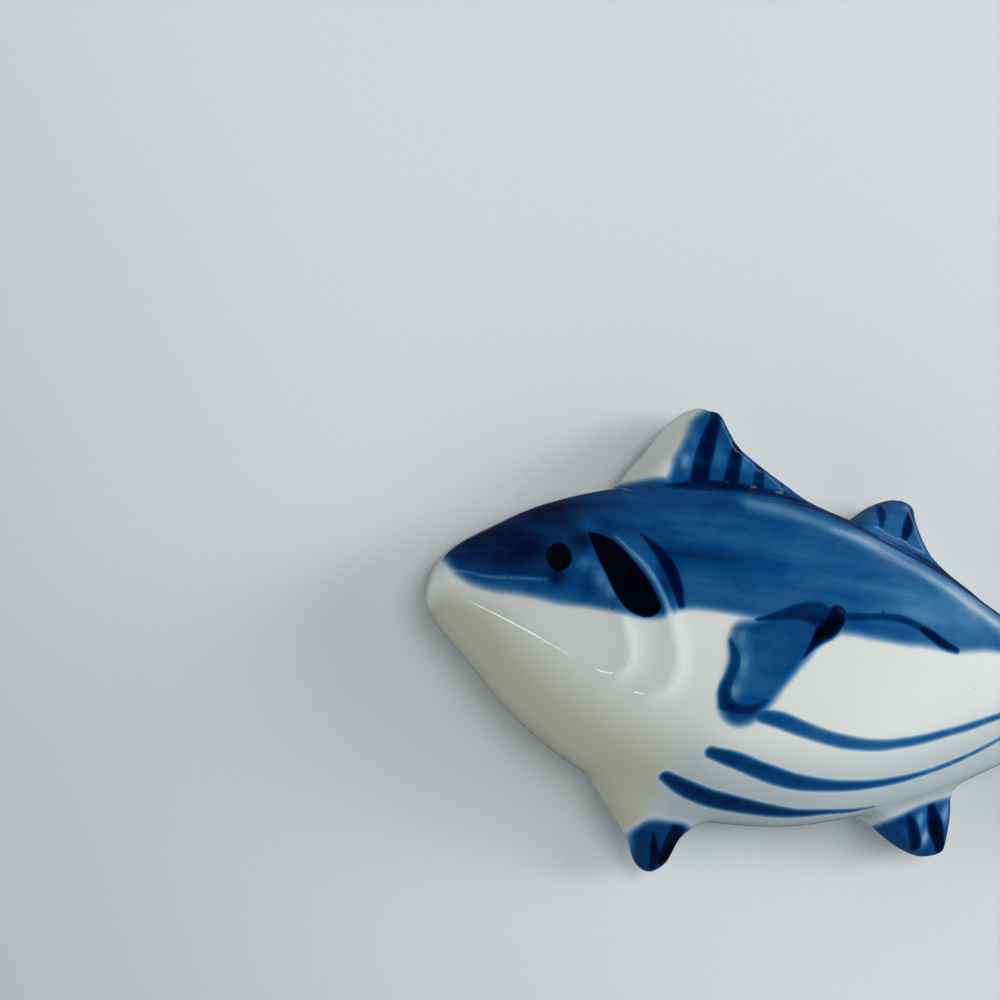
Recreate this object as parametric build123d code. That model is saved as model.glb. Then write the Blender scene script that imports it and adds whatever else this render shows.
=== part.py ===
from build123d import *
from math import cos, radians, sin
import os
from typing import NamedTuple

# Porcelain chopstick rest in the form of a tuna lying on its flank, in millimetres.
# +X runs from the snout to the tail, +Y from the belly to the back, +Z up from the table.
# The body is one solid casting. Each fin and gill ridge is a clay sprig luted onto it, trimmed to the
# body's surface so that the two meet face to face, and the firing then makes them one.

# Body
body_length = 56.5         # from the snout to the tail joint
body_depth = 26.0          # from the belly to the back, where the fish is deepest
body_thickness = 13.0      # from the table to the crest of the flank
edge_height = 1.0          # the outline is widest this far above the table
foot_inset = 1.3           # the flat foot is set in from the outline by this much
foot_allowance = 0.5       # clay ground off the casting to make the foot flat

# What all upright fins share
fin_underside = 1.5        # fins clear the table by this much
root_bite = 3.0            # a fin's blank runs this far into the body before it is trimmed

# First dorsal fin, behind the head
first_dorsal_start = 14.2      # from the snout to the front of its root
first_dorsal_root = 17.6       # length of its root along the back
first_dorsal_reach = 7.6       # its tip stands this far off the back
first_dorsal_rake = 5.9        # its tip lies this far behind the front of its root
first_dorsal_bow = 0.7         # its leading edge swells out by this much
first_dorsal_hollow = 1.5      # its trailing edge is hollow by this much
first_dorsal_root_height = 6.6
first_dorsal_tip_height = 3.4
first_dorsal_tip_radius = 1.1

# Second dorsal fin, ahead of the tail stem
second_dorsal_start = 33.0
second_dorsal_root = 10.5
second_dorsal_reach = 5.1
second_dorsal_rake = 5.2
second_dorsal_bow = 0.5
second_dorsal_hollow = 1.4
second_dorsal_root_height = 5.6
second_dorsal_tip_height = 3.4
second_dorsal_tip_radius = 0.9

# Pelvic fin, under the chest
pelvic_start = 16.2
pelvic_root = 6.8
pelvic_reach = 5.9
pelvic_rake = 4.7
pelvic_bow = 0.3
pelvic_hollow = -0.2           # its trailing edge swells out a little
pelvic_root_height = 5.4
pelvic_tip_height = 3.0
pelvic_tip_radius = 0.9

# Anal fin, ahead of the tail stem on the belly side
anal_start = 37.4
anal_root = 6.8
anal_reach = 6.3
anal_rake = 7.1
anal_bow = 0.8
anal_hollow = -0.3
anal_root_height = 5.2
anal_tip_height = 3.2
anal_tip_radius = 1.2

# Tail fin: a crescent that rises from the stem, so that a chopstick on the stem stays there
tail_length = 8.0          # from the tail joint to the tips of the lobes
tail_upper_span = 9.6      # from the mid line to the upper tip
tail_lower_span = 10.2     # from the mid line to the lower tip
tail_notch = 4.0           # the crescent's hollow, measured forward from the tips
tail_root_height = 4.3     # top of the fin at the joint
tail_root_margin = 0.4     # the fin's root is narrower than the stem by this much on each side
tail_rise = 3.0            # how far the tips stand above the joint
tail_tip_thickness = 2.9
tail_tip_width = 1.2       # each tip is cut off blunt by this much

# Pectoral fin, in low relief on the flank
pectoral_start = 21.5      # from the snout to its base
pectoral_base = 7.2        # length of its base
pectoral_base_top = 0.1    # the base's upper corner, from the mid line
pectoral_length = 9.4      # from the base to the tip
pectoral_tip_rise = 2.7    # the tip stands this far above the base's upper corner
pectoral_bow = 1.1         # its upper edge swells out by this much
pectoral_base_hollow = 0.4
pectoral_relief = 0.6

# Gill ridges, two crescents in low relief behind the eye, bowed towards the tail
gill_top = 5.6             # from the mid line up to their upper points
gill_bottom = 5.4          # from the mid line down to their lower points
gill_width = 1.3
gill_relief = 0.5
front_gill_top = 10.5      # from the snout to the front ridge's upper point
front_gill_bottom = 13.8   # and to its lower point
front_gill_bow = 0.8
rear_gill_top = 12.4
rear_gill_bottom = 17.1
rear_gill_bow = 2.2


class Station(NamedTuple):
    """A cross-section of the body, as shares of its length, depth and thickness.

    Its squareness is the power of its curve: 2 is the ellipse of the head, more is fuller.
    """

    along: float
    back: float
    belly: float
    crest: float
    squareness: float


STATIONS = [
    Station(0.00, 0.03, -0.01, 0.22, 2.0),
    Station(0.006, 0.07, -0.045, 0.32, 2.0),
    Station(0.02, 0.12, -0.09, 0.43, 2.0),
    Station(0.07, 0.21, -0.19, 0.59, 2.0),
    Station(0.15, 0.32, -0.34, 0.78, 2.0),
    Station(0.27, 0.41, -0.48, 0.93, 2.15),
    Station(0.41, 0.44, -0.56, 0.98, 2.6),
    Station(0.57, 0.40, -0.53, 0.92, 2.9),
    Station(0.71, 0.32, -0.43, 0.77, 2.9),
    Station(0.84, 0.20, -0.28, 0.60, 2.9),
    Station(0.93, 0.11, -0.17, 0.47, 2.9),
    Station(1.00, 0.08, -0.11, 0.41, 2.9),
]


def outline_at(distance: float, side: int) -> float:
    """Y of the body's outline at a distance from the snout: side 1 is the back, -1 the belly."""
    along = min(max(distance / body_length, 0.0), 1.0)
    for front, rear in zip(STATIONS, STATIONS[1:]):
        if along <= rear.along:
            break
    blend = (along - front.along) / (rear.along - front.along)
    start, end = (front.back, rear.back) if side > 0 else (front.belly, rear.belly)
    return body_depth * (start + blend * (end - start))


def body_section(station: Station, swell: float) -> Wire:
    """The closed outline of one cross-section, larger all round by swell."""
    x = station.along * body_length
    back = station.back * body_depth + swell
    belly = station.belly * body_depth - swell
    middle = (back + belly) / 2
    inset = min(foot_inset, (back - belly) / 4) * (edge_height + foot_allowance) / edge_height
    crest = station.crest * body_thickness + swell
    half_width = (back - belly) / 2
    flank = []
    for turn in (20, 45, 70, 90, 110, 135, 160):
        across = abs(cos(radians(turn))) ** (2 / station.squareness)
        up = sin(radians(turn)) ** (2 / station.squareness)
        side = 1 if turn < 90 else -1
        flank.append((x, middle + side * half_width * across, edge_height + up * (crest - edge_height)))
    foot_back = Vector(x, back - inset, -foot_allowance)
    foot_belly = Vector(x, belly + inset, -foot_allowance)
    edge_back = Vector(x, back, edge_height)
    edge_belly = Vector(x, belly, edge_height)
    dome = Spline(edge_back, *flank, edge_belly, tangents=[(0, 0, 1), (0, 0, -1)])
    return Wire([Line(foot_belly, foot_back), Line(foot_back, edge_back), dome, Line(edge_belly, foot_belly)])


def body_blank(swell: float = 0.0) -> Part:
    """The body lofted through its stations; with a swell it is the mould face for low relief."""
    cast = Part() + Solid.make_loft([body_section(station, swell) for station in STATIONS])
    return split(cast, Plane.XY, keep=Keep.TOP)


def upright_fin(
    body: Part,
    side: int,
    start: float,
    root: float,
    reach: float,
    rake: float,
    bow: float,
    hollow: float,
    root_height: float,
    tip_height: float,
    tip_radius: float,
) -> Part:
    """A fin that stands off the back (side 1) or the belly (side -1), trimmed to the body."""
    front = Vector(start, outline_at(start, side), 0)
    rear = Vector(start + root, outline_at(start + root, side), 0)
    tip = Vector(start + rake, outline_at(start + rake, side) + side * reach, 0)
    inward = Vector(0, -side * root_bite, 0)
    outline = [
        Line(front + inward, front),
        SagittaArc(front, tip, side * bow),
        SagittaArc(tip, rear, -side * hollow),
        Line(rear, rear + inward),
        Line(rear + inward, front + inward),
    ]
    plan = make_face(outline)
    tip_corner = plan.vertices().sort_by(Axis.Y)[-1 if side > 0 else 0]
    plan = fillet(tip_corner, tip_radius)
    blank = Pos(0, 0, fin_underside) * extrude(plan, root_height)
    inner_y = min(side * front.Y, side * rear.Y) - root_bite
    outer_y = max(side * tip.Y, side * front.Y)
    slope = make_face(
        Polyline(
            (0, side * inner_y, 0),
            (0, side * inner_y, root_height),
            (0, side * outer_y, tip_height),
            (0, side * outer_y, 0),
            close=True,
        )
    )
    wedge = extrude(slope, body_length, dir=(1, 0, 0))
    beside_body = wedge - body
    return blank & beside_body


def tail_fin() -> Part:
    """The crescent tail: its root lies flat against the body's end, and its lobes rise behind it."""
    joint = body_length
    tips = body_length + tail_length
    last = STATIONS[-1]
    root_top = Vector(joint, last.back * body_depth - tail_root_margin, 0)
    root_bottom = Vector(joint, last.belly * body_depth + tail_root_margin, 0)
    upper_tip = Vector(tips - tail_tip_width, tail_upper_span, 0)
    lower_tip = Vector(tips - tail_tip_width, -tail_lower_span, 0)
    upper_end = Vector(tips, tail_upper_span - tail_tip_width, 0)
    lower_end = Vector(tips, tail_tip_width - tail_lower_span, 0)
    notch = Vector(tips - tail_notch, (tail_upper_span - tail_lower_span) / 2, 0)
    outline = [
        Line(root_bottom, root_top),
        Line(root_top, upper_tip),
        Line(upper_tip, upper_end),
        ThreePointArc(upper_end, notch, lower_end),
        Line(lower_end, lower_tip),
        Line(lower_tip, root_bottom),
    ]
    plan = make_face(outline)
    tip_top = tail_root_height + tail_rise
    blank = extrude(plan, tip_top)
    profile = make_face(
        Polyline(
            (joint, 0, fin_underside),
            (joint, 0, tail_root_height),
            (tips, 0, tip_top),
            (tips, 0, tip_top - tail_tip_thickness),
            close=True,
        )
    )
    slab = extrude(profile, tail_upper_span + tail_lower_span, dir=(0, 1, 0), both=True)
    return blank & slab


def low_relief(plan: Sketch, body: Part, relief: float) -> Part:
    """A sprig of even thickness over the flank, inside the given plan outline."""
    prism = extrude(plan, 2 * body_thickness)
    above_edge = Pos(0, 0, body_thickness / 2) * prism
    return (above_edge & body_blank(relief)) - body


def pectoral_fin(body: Part) -> Part:
    """A leaf that points up and back from its base behind the gills."""
    base_top = Vector(pectoral_start, pectoral_base_top, 0)
    base_bottom = base_top - Vector(0, pectoral_base, 0)
    tip = base_top + Vector(pectoral_length, pectoral_tip_rise, 0)
    outline = [
        SagittaArc(base_top, tip, pectoral_bow),
        Line(tip, base_bottom),
        SagittaArc(base_bottom, base_top, -pectoral_base_hollow),
    ]
    return low_relief(make_face(outline), body, pectoral_relief)


def gill_ridge(body: Part, top: float, bottom: float, bow: float) -> Part:
    """A crescent behind the eye, from its upper point to its lower one."""
    upper = Vector(top, gill_top, 0)
    lower = Vector(bottom, -gill_bottom, 0)
    outline = [
        SagittaArc(upper, lower, bow + gill_width / 2),
        SagittaArc(lower, upper, gill_width / 2 - bow),
    ]
    return low_relief(make_face(outline), body, gill_relief)


def build_fish() -> dict[str, Part]:
    """Every piece by name, with the snout on the YZ plane and the foot on the table."""
    body = body_blank()
    return {
        "body": body,
        "first_dorsal_fin": upright_fin(
            body,
            side=1,
            start=first_dorsal_start,
            root=first_dorsal_root,
            reach=first_dorsal_reach,
            rake=first_dorsal_rake,
            bow=first_dorsal_bow,
            hollow=first_dorsal_hollow,
            root_height=first_dorsal_root_height,
            tip_height=first_dorsal_tip_height,
            tip_radius=first_dorsal_tip_radius,
        ),
        "second_dorsal_fin": upright_fin(
            body,
            side=1,
            start=second_dorsal_start,
            root=second_dorsal_root,
            reach=second_dorsal_reach,
            rake=second_dorsal_rake,
            bow=second_dorsal_bow,
            hollow=second_dorsal_hollow,
            root_height=second_dorsal_root_height,
            tip_height=second_dorsal_tip_height,
            tip_radius=second_dorsal_tip_radius,
        ),
        "pelvic_fin": upright_fin(
            body,
            side=-1,
            start=pelvic_start,
            root=pelvic_root,
            reach=pelvic_reach,
            rake=pelvic_rake,
            bow=pelvic_bow,
            hollow=pelvic_hollow,
            root_height=pelvic_root_height,
            tip_height=pelvic_tip_height,
            tip_radius=pelvic_tip_radius,
        ),
        "anal_fin": upright_fin(
            body,
            side=-1,
            start=anal_start,
            root=anal_root,
            reach=anal_reach,
            rake=anal_rake,
            bow=anal_bow,
            hollow=anal_hollow,
            root_height=anal_root_height,
            tip_height=anal_tip_height,
            tip_radius=anal_tip_radius,
        ),
        "tail_fin": tail_fin(),
        "pectoral_fin": pectoral_fin(body),
        "front_gill_ridge": gill_ridge(body, front_gill_top, front_gill_bottom, front_gill_bow),
        "rear_gill_ridge": gill_ridge(body, rear_gill_top, rear_gill_bottom, rear_gill_bow),
    }


def centre_on_table(pieces: dict[str, Part]) -> dict[str, Part]:
    """Moves the fish so that the origin lies under the middle of its outline, on the table."""
    boxes = [piece.bounding_box() for piece in pieces.values()]
    middle_x = (min(box.min.X for box in boxes) + max(box.max.X for box in boxes)) / 2
    middle_y = (min(box.min.Y for box in boxes) + max(box.max.Y for box in boxes)) / 2
    table = min(box.min.Z for box in boxes)
    shift = Pos(-middle_x, -middle_y, -table)
    return {name: shift * piece for name, piece in pieces.items()}


def main() -> None:
    """Builds the fish and writes each piece to its own file."""
    os.makedirs("parts", exist_ok=True)
    for name, piece in centre_on_table(build_fish()).items():
        piece.label = name
        export_step(piece, f"parts/{name}.step")


main()
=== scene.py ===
"""Looks of a porcelain chopstick rest in the form of a tuna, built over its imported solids.

The real rest is one fired piece whose glaze runs softly from the body over the fins. So the fish is shaped
as one field of distances, skinned, grooved along its fin rays, and then cut at the joints into the pieces
that the solids have. Until a mesh is written, lengths are millimetres: x from the snout towards the tail,
y from the mid line towards the back and z up from the table.
"""
import logging
import math
from dataclasses import dataclass
from enum import Enum
from typing import Any, Callable, Sequence

import bpy
import numpy as np
from mathutils import Matrix, Vector
from mathutils.geometry import tessellate_polygon


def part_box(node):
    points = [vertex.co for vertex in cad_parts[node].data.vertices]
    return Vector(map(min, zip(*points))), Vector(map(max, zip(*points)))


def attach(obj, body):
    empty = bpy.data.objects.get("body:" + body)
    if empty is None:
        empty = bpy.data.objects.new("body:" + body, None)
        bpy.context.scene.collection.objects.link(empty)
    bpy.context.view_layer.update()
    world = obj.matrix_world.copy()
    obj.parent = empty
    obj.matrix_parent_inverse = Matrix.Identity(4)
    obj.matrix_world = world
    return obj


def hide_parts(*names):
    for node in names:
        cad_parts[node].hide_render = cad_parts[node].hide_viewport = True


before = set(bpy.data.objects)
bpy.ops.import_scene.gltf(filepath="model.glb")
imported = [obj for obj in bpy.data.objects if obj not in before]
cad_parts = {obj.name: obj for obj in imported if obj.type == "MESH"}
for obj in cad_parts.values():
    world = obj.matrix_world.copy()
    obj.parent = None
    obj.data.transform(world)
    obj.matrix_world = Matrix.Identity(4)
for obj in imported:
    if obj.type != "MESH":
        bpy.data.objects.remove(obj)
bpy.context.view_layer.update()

MM = 0.001
FAR = 6.0       # distance given to points outside a form's neighbourhood, in mm
REACH = 4.0     # how far round a line or an outline its distance is worked out, in mm
BODY = "root"   # the one body of a part without joints
MIX_A, MIX_B, MIX_OUT = 6, 7, 2     # a Mix node's colour sockets, which share their names with others

Array = np.ndarray
Points = Sequence[tuple[float, ...]]
Distance = Callable[[Array, Array, Array], Array]
log = logging.getLogger("tuna_rest")


class Piece(Enum):
    """The pieces of the rest, by the names of their solids."""
    BODY = "body"
    FIRST_DORSAL = "first_dorsal_fin"
    SECOND_DORSAL = "second_dorsal_fin"
    PELVIC = "pelvic_fin"
    ANAL = "anal_fin"
    TAIL = "tail_fin"
    PECTORAL = "pectoral_fin"
    FRONT_GILL = "front_gill_ridge"
    REAR_GILL = "rear_gill_ridge"


class Slot(Enum):
    """The record's material slots."""
    WHITE = "white_porcelain"
    COBALT = "cobalt_porcelain"


class Seat(Enum):
    """How a piece is cut from the skin: through to the body's side, through the stem, or as a thin sprig."""
    SIDE = "side"
    STEM = "stem"
    SPRIG = "sprig"


def linear(colour: str) -> tuple[float, float, float, float]:
    """Turns an sRGB hex colour to linear.

    Args:
        colour: six hex digits after a number sign.
    Returns:
        Linear red, green, blue and an alpha of 1.
    """
    shares = [int(colour[i:i + 2], 16) / 255 for i in (1, 3, 5)]
    red, green, blue = (s / 12.92 if s <= 0.04045 else ((s + 0.055) / 1.055) ** 2.4 for s in shares)
    return red, green, blue, 1.0


def add_node(tree: bpy.types.NodeTree, kind: str, inputs: dict[Any, Any] | None = None,
             **settings: Any) -> bpy.types.Node:
    """Adds a node with its settings, values and links.

    Args:
        tree: the node tree that gets it.
        kind: the node's Blender type.
        inputs: for a socket's name or number, a value or the output that is linked to it.
        settings: the node's own properties.
    Returns:
        The new node.
    """
    made = tree.nodes.new(kind)
    for name, value in settings.items():
        setattr(made, name, value)
    for key, value in (inputs or {}).items():
        if isinstance(value, bpy.types.NodeSocket):
            tree.links.new(value, made.inputs[key])
        else:
            made.inputs[key].default_value = value
    return made


def new_material(name: str) -> tuple[bpy.types.Material, bpy.types.NodeTree]:
    """Makes a material and gives it with its tree, which has no nodes yet."""
    made = bpy.data.materials.new(name)
    made.use_nodes = True
    made.node_tree.nodes.clear()
    return made, made.node_tree


def new_mesh(name: str, places: Array, faces: Array, values: dict[str, Array]) -> bpy.types.Mesh:
    """Makes a mesh.

    Args:
        name: the mesh's name.
        places: its points, in metres in the row frame.
        faces: the numbers of each face's points.
        values: for the name of an attribute, a number at each point.
    Returns:
        The mesh.
    """
    made = bpy.data.meshes.new(name)
    made.from_pydata(places.tolist(), [], faces.tolist())
    for key, value in values.items():
        held = made.attributes.new(key, "FLOAT", "POINT")
        held.data.foreach_set("value", value.astype(np.float32))
    return made


def put_in_scene(name: str, data: bpy.types.ID) -> bpy.types.Object:
    """Makes an object of a mesh, a lamp or a camera and links it to the scene."""
    made = bpy.data.objects.new(name, data)
    bpy.context.scene.collection.objects.link(made)
    return made


def ease(value: Array, low: float, high: float) -> Array:
    """Goes smoothly from 0 at low to 1 at high."""
    share = np.clip((value - low) / (high - low), 0, 1)
    return share * share * (3 - 2 * share)


def soft_max(first: Array, second: Array, blend: float) -> Array:
    """The larger of two distances, with the edge between them rounded over blend."""
    near = np.maximum(blend - np.abs(first - second), 0) / blend
    return np.maximum(first, second) + near * near * blend / 4


def soft_min(first: Array, second: Array, blend: float) -> Array:
    """The smaller of two distances, with the corner between them filled over blend."""
    return -soft_max(-first, -second, blend)


def tangents(knots: Array, values: Array) -> Array:
    """Slopes of a smooth curve through values at uneven knots.

    Args:
        knots: rising positions.
        values: one row for each knot.
    Returns:
        One row of slopes for each knot.
    """
    gaps = np.diff(knots)[:, None]
    runs = np.diff(values, axis=0) / gaps
    inner = (runs[:-1] * gaps[1:] + runs[1:] * gaps[:-1]) / (gaps[:-1] + gaps[1:])
    return np.concatenate([runs[:1], inner, runs[-1:]])


def hermite(knots: Array, values: Array, slopes: Array, at: Array) -> Array:
    """Reads a smooth curve through values.

    Args:
        knots: rising positions.
        values: one row for each knot.
        slopes: one row for each knot.
        at: where it is read.
    Returns:
        One row of values for each place in at.
    """
    span = np.clip(np.searchsorted(knots, at, side="right") - 1, 0, len(knots) - 2)
    gap = knots[span + 1] - knots[span]
    t = np.clip((at - knots[span]) / gap, 0, 1)[..., None]
    gap = gap[..., None]
    return ((1 + 2 * t) * (1 - t) ** 2 * values[span] + t * (1 - t) ** 2 * gap * slopes[span]
            + t * t * (3 - 2 * t) * values[span + 1] + t * t * (t - 1) * gap * slopes[span + 1])


def curve_through(points: Points, closed: bool = False, spacing: float = 0.45) -> Array:
    """Draws a smooth line through a few points.

    Args:
        points: x and y, and maybe a width, of each point.
        closed: whether the line goes back to its first point.
        spacing: the most that two points of the drawn line lie apart.
    Returns:
        One row for each point of the drawn line.
    """
    given = np.array(points, float)
    if closed:
        given = np.concatenate([given[-2:], given, given[:3]])
    knots = np.concatenate([[0], np.cumsum(np.hypot(*np.diff(given[:, :2], axis=0).T))])
    low, high = (knots[2], knots[-3]) if closed else (knots[0], knots[-1])
    places = np.linspace(low, high, max(3, int(math.ceil((high - low) / spacing)) + 1))
    return hermite(knots, given, tangents(knots, given), places)


def close_to(x: Array, y: Array, line: Array) -> Array:
    """Which points lie in the neighbourhood of a line."""
    low, high = line[:, :2].min(0) - REACH, line[:, :2].max(0) + REACH
    return (x > low[0]) & (x < high[0]) & (y > low[1]) & (y < high[1])


def line_distance(x: Array, y: Array, line: Array) -> Array:
    """Distance in plan from a line, or from the edge of its stroke where it has widths.

    Args:
        x: places along the fish.
        y: places across it, in the same shape.
        line: rows of x and y, and maybe a full width.
    Returns:
        Distances, FAR outside the line's neighbourhood.
    """
    out = np.full(x.shape, FAR)
    near = close_to(x, y, line)
    px, py = x[near], y[near]
    best = np.full(px.shape, FAR)
    for start, end in zip(line[:-1], line[1:]):
        run = end[:2] - start[:2]
        share = np.clip(((px - start[0]) * run[0] + (py - start[1]) * run[1]) / max(run @ run, 1e-9), 0, 1)
        gap = np.hypot(px - start[0] - share * run[0], py - start[1] - share * run[1])
        if line.shape[1] > 2:
            gap = gap - (start[2] + share * (end[2] - start[2])) / 2
        best = np.minimum(best, gap)
    out[near] = best
    return out


def outline_distance(x: Array, y: Array, outline: Array) -> Array:
    """Distance in plan from a closed outline, below zero inside it.

    Args:
        x: places along the fish.
        y: places across it, in the same shape.
        outline: rows of x and y, the last the same as the first.
    Returns:
        Signed distances, FAR outside the outline's neighbourhood.
    """
    out = line_distance(x, y, outline[:, :2])
    near = close_to(x, y, outline)
    px, py = x[near], y[near]
    inside = np.zeros(px.shape, bool)
    for start, end in zip(outline[:-1], outline[1:]):
        if start[1] != end[1]:
            crossing = start[0] + (py - start[1]) * (end[0] - start[0]) / (end[1] - start[1])
            inside ^= ((start[1] > py) != (end[1] > py)) & (px < crossing)
    out[near] = np.where(inside, -out[near], out[near])
    return out


@dataclass(frozen=True)
class Datum:
    """Where the fish lies in the row frame, taken from the body's solid."""
    snout: float
    mid_line: float

    @classmethod
    def from_solid(cls, back_reach: float) -> "Datum":
        """Reads the datum off the body's box, whose widest back lies back_reach from the mid line."""
        low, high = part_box(Piece.BODY.value)
        return cls(low.x / MM, high.y / MM - back_reach)

    def place(self, points: Array) -> Array:
        """Turns millimetres from the snout and the mid line into metres in the row frame."""
        return (points + np.array([self.snout, self.mid_line, 0.0])) * MM

    def measure(self, places: Array) -> Array:
        """Turns metres in the row frame into millimetres from the snout and the mid line."""
        return places / MM - np.array([self.snout, self.mid_line, 0.0])


@dataclass(frozen=True)
class Station:
    """One cross-section of the body."""
    along: float
    back: float
    belly: float
    crest: float
    squareness: float


@dataclass
class CastBody:
    """The cast body: a flat foot, a low rim where it is widest, and a flank that is round at the head."""
    stations: tuple[Station, ...] = (
        Station(0.0, 0.2, 0.2, 2.4, 2.0), Station(1.1, 3.1, -2.3, 5.6, 2.0),
        Station(4.0, 5.5, -4.9, 7.7, 2.0), Station(8.5, 8.3, -8.8, 10.1, 2.0),
        Station(15.3, 10.7, -12.5, 12.1, 2.15), Station(23.2, 11.4, -14.6, 12.75, 2.6),
        Station(32.2, 10.4, -13.8, 12.0, 2.9), Station(40.1, 8.0, -11.2, 10.0, 2.9),
        Station(47.5, 4.6, -7.3, 7.8, 2.9), Station(52.5, 2.6, -4.4, 6.1, 2.9),
        Station(56.5, 2.1, -2.9, 5.3, 2.9),
    )
    back_reach: float = 11.45
    rim_height: float = 1.5
    foot_inset: float = 1.5
    stem_end: float = 57.5
    snout_round: float = 0.2
    stem_round: float = 0.6
    foot_round: float = 0.3
    thinnest: float = 0.05
    probe: float = 0.05

    def __post_init__(self) -> None:
        """Prepares the smooth lines through the stations, over the root of the length for a round snout."""
        self.knots = np.sqrt([s.along for s in self.stations])
        self.lines = np.array([[s.back, s.belly, s.crest, s.squareness] for s in self.stations])
        self.slopes = tangents(self.knots, self.lines)

    def outline(self, along: Array) -> tuple[Array, ...]:
        """Gives the back, the belly, the crest and the squareness at places along the fish."""
        read = hermite(self.knots, self.lines, self.slopes, np.sqrt(np.maximum(along, 0)))
        return tuple(np.moveaxis(read, -1, 0))

    def distance(self, x: Array, y: Array, z: Array) -> Array:
        """Distance from the body's skin.

        Args:
            x: places along the fish.
            y: places across it.
            z: heights, which spread against x and y.
        Returns:
            Distances, below zero inside.
        """
        back, belly, crest, power = self.outline(x)
        ahead, behind = self.outline(x + self.probe), self.outline(x - self.probe)
        turn = [(a - b) / (2 * self.probe) for a, b in zip(ahead, behind)]
        half, half_turn = np.maximum((back - belly) / 2, self.thinnest), (turn[0] - turn[1]) / 2
        off = y - (back + belly) / 2
        tuck = np.clip((self.rim_height - z) / self.rim_height, 0, 1) ** 2
        width = np.maximum(half - tuck * np.minimum(self.foot_inset, half / 3), self.thinnest)
        height = crest - self.rim_height
        u, v = np.abs(off) / width, np.maximum(z - self.rim_height, 0) / height
        size = np.maximum((u ** power + v ** power) ** (1 / power), 1e-4)
        du, dv = (u / size) ** (power - 1), (v / size) ** (power - 1)
        slope_x = (du * (-np.sign(off) * (turn[0] + turn[1]) / 2 - u / size * half_turn) / width
                   - dv * v / size * turn[2] / height)
        slope = np.sqrt((du / width) ** 2 + (dv / height) ** 2 + slope_x ** 2)
        skin = np.clip((size - 1) / np.maximum(slope, 1e-4), -FAR, FAR)
        skin = soft_max(skin, -x, self.snout_round)
        skin = soft_max(skin, x - self.stem_end, self.stem_round)
        return soft_max(skin, -z, self.foot_round)


@dataclass(frozen=True)
class Stroke:
    """One pull of the brush: points with the width that it leaves, and how much cobalt it carries."""
    points: Points
    load: float

    def line(self) -> Array:
        """The stroke as a smooth line with widths."""
        return curve_through(self.points)


@dataclass
class Fin:
    """A fin pressed on its own: sloping walls round an outline, under a top that falls to the tip."""
    piece: Piece
    outline: Points
    root: tuple[float, float]
    tip: tuple[float, float]
    under: tuple[float, float]
    top: tuple[float, float]
    inset: float
    lean: tuple[float, float]
    rays: tuple[Stroke, ...]
    seat: Seat = Seat.SIDE
    blend: float = 1.0
    edge_round: float = 1.0

    def __post_init__(self) -> None:
        """Draws the outline."""
        self.rim = curve_through(self.outline, closed=True)

    def distance(self, x: Array, y: Array, z: Array) -> Array:
        """Distance from the fin's skin, with arguments as for the body."""
        px, py = (np.array(a) for a in np.broadcast_arrays(x, y))
        base = outline_distance(px, py, self.rim)
        crown = outline_distance(px - self.lean[0], py - self.lean[1], self.rim) + self.inset
        root, tip = np.array(self.root), np.array(self.tip)
        run = tip - root
        share = np.clip(((px - root[0]) * run[0] + (py - root[1]) * run[1]) / (run @ run), 0, 1)
        under = self.under[0] + share * (self.under[1] - self.under[0])
        top = self.top[0] + share * (self.top[1] - self.top[0])
        level = np.clip((z - under) / (top - under), 0, 1)
        wall = base + level * (crown - base)
        return soft_max(soft_max(wall, z - top, self.edge_round), under - z, self.edge_round / 2)

    def ray_distance(self, x: Array, y: Array) -> Array:
        """Distance in plan from the middle of the nearest ray."""
        return np.minimum.reduce([line_distance(x, y, r.line()[:, :2]) for r in self.rays])


@dataclass(frozen=True)
class Rise:
    """A raised or sunk line in the flank: where it runs, half its width and how high it stands."""
    points: Points
    half_width: float
    height: float

    def lift(self, x: Array, y: Array) -> Array:
        """Height over the flank at places on it."""
        gap = line_distance(x, y, curve_through(self.points)[:, :2]) / self.half_width
        return self.height * np.exp(-gap * gap)


@dataclass(frozen=True)
class Pad:
    """A raised or sunk patch of the flank: its outline, the width of its edge and how high it stands."""
    outline: Points
    edge: float
    height: float

    def depth(self, x: Array, y: Array) -> Array:
        """How far inside the outline places on the flank lie."""
        return -outline_distance(x, y, curve_through(self.outline, closed=True))

    def lift(self, x: Array, y: Array) -> Array:
        """Height over the flank at places on it."""
        return self.height * ease(self.depth(x, y), -self.edge / 3, self.edge)


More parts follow.
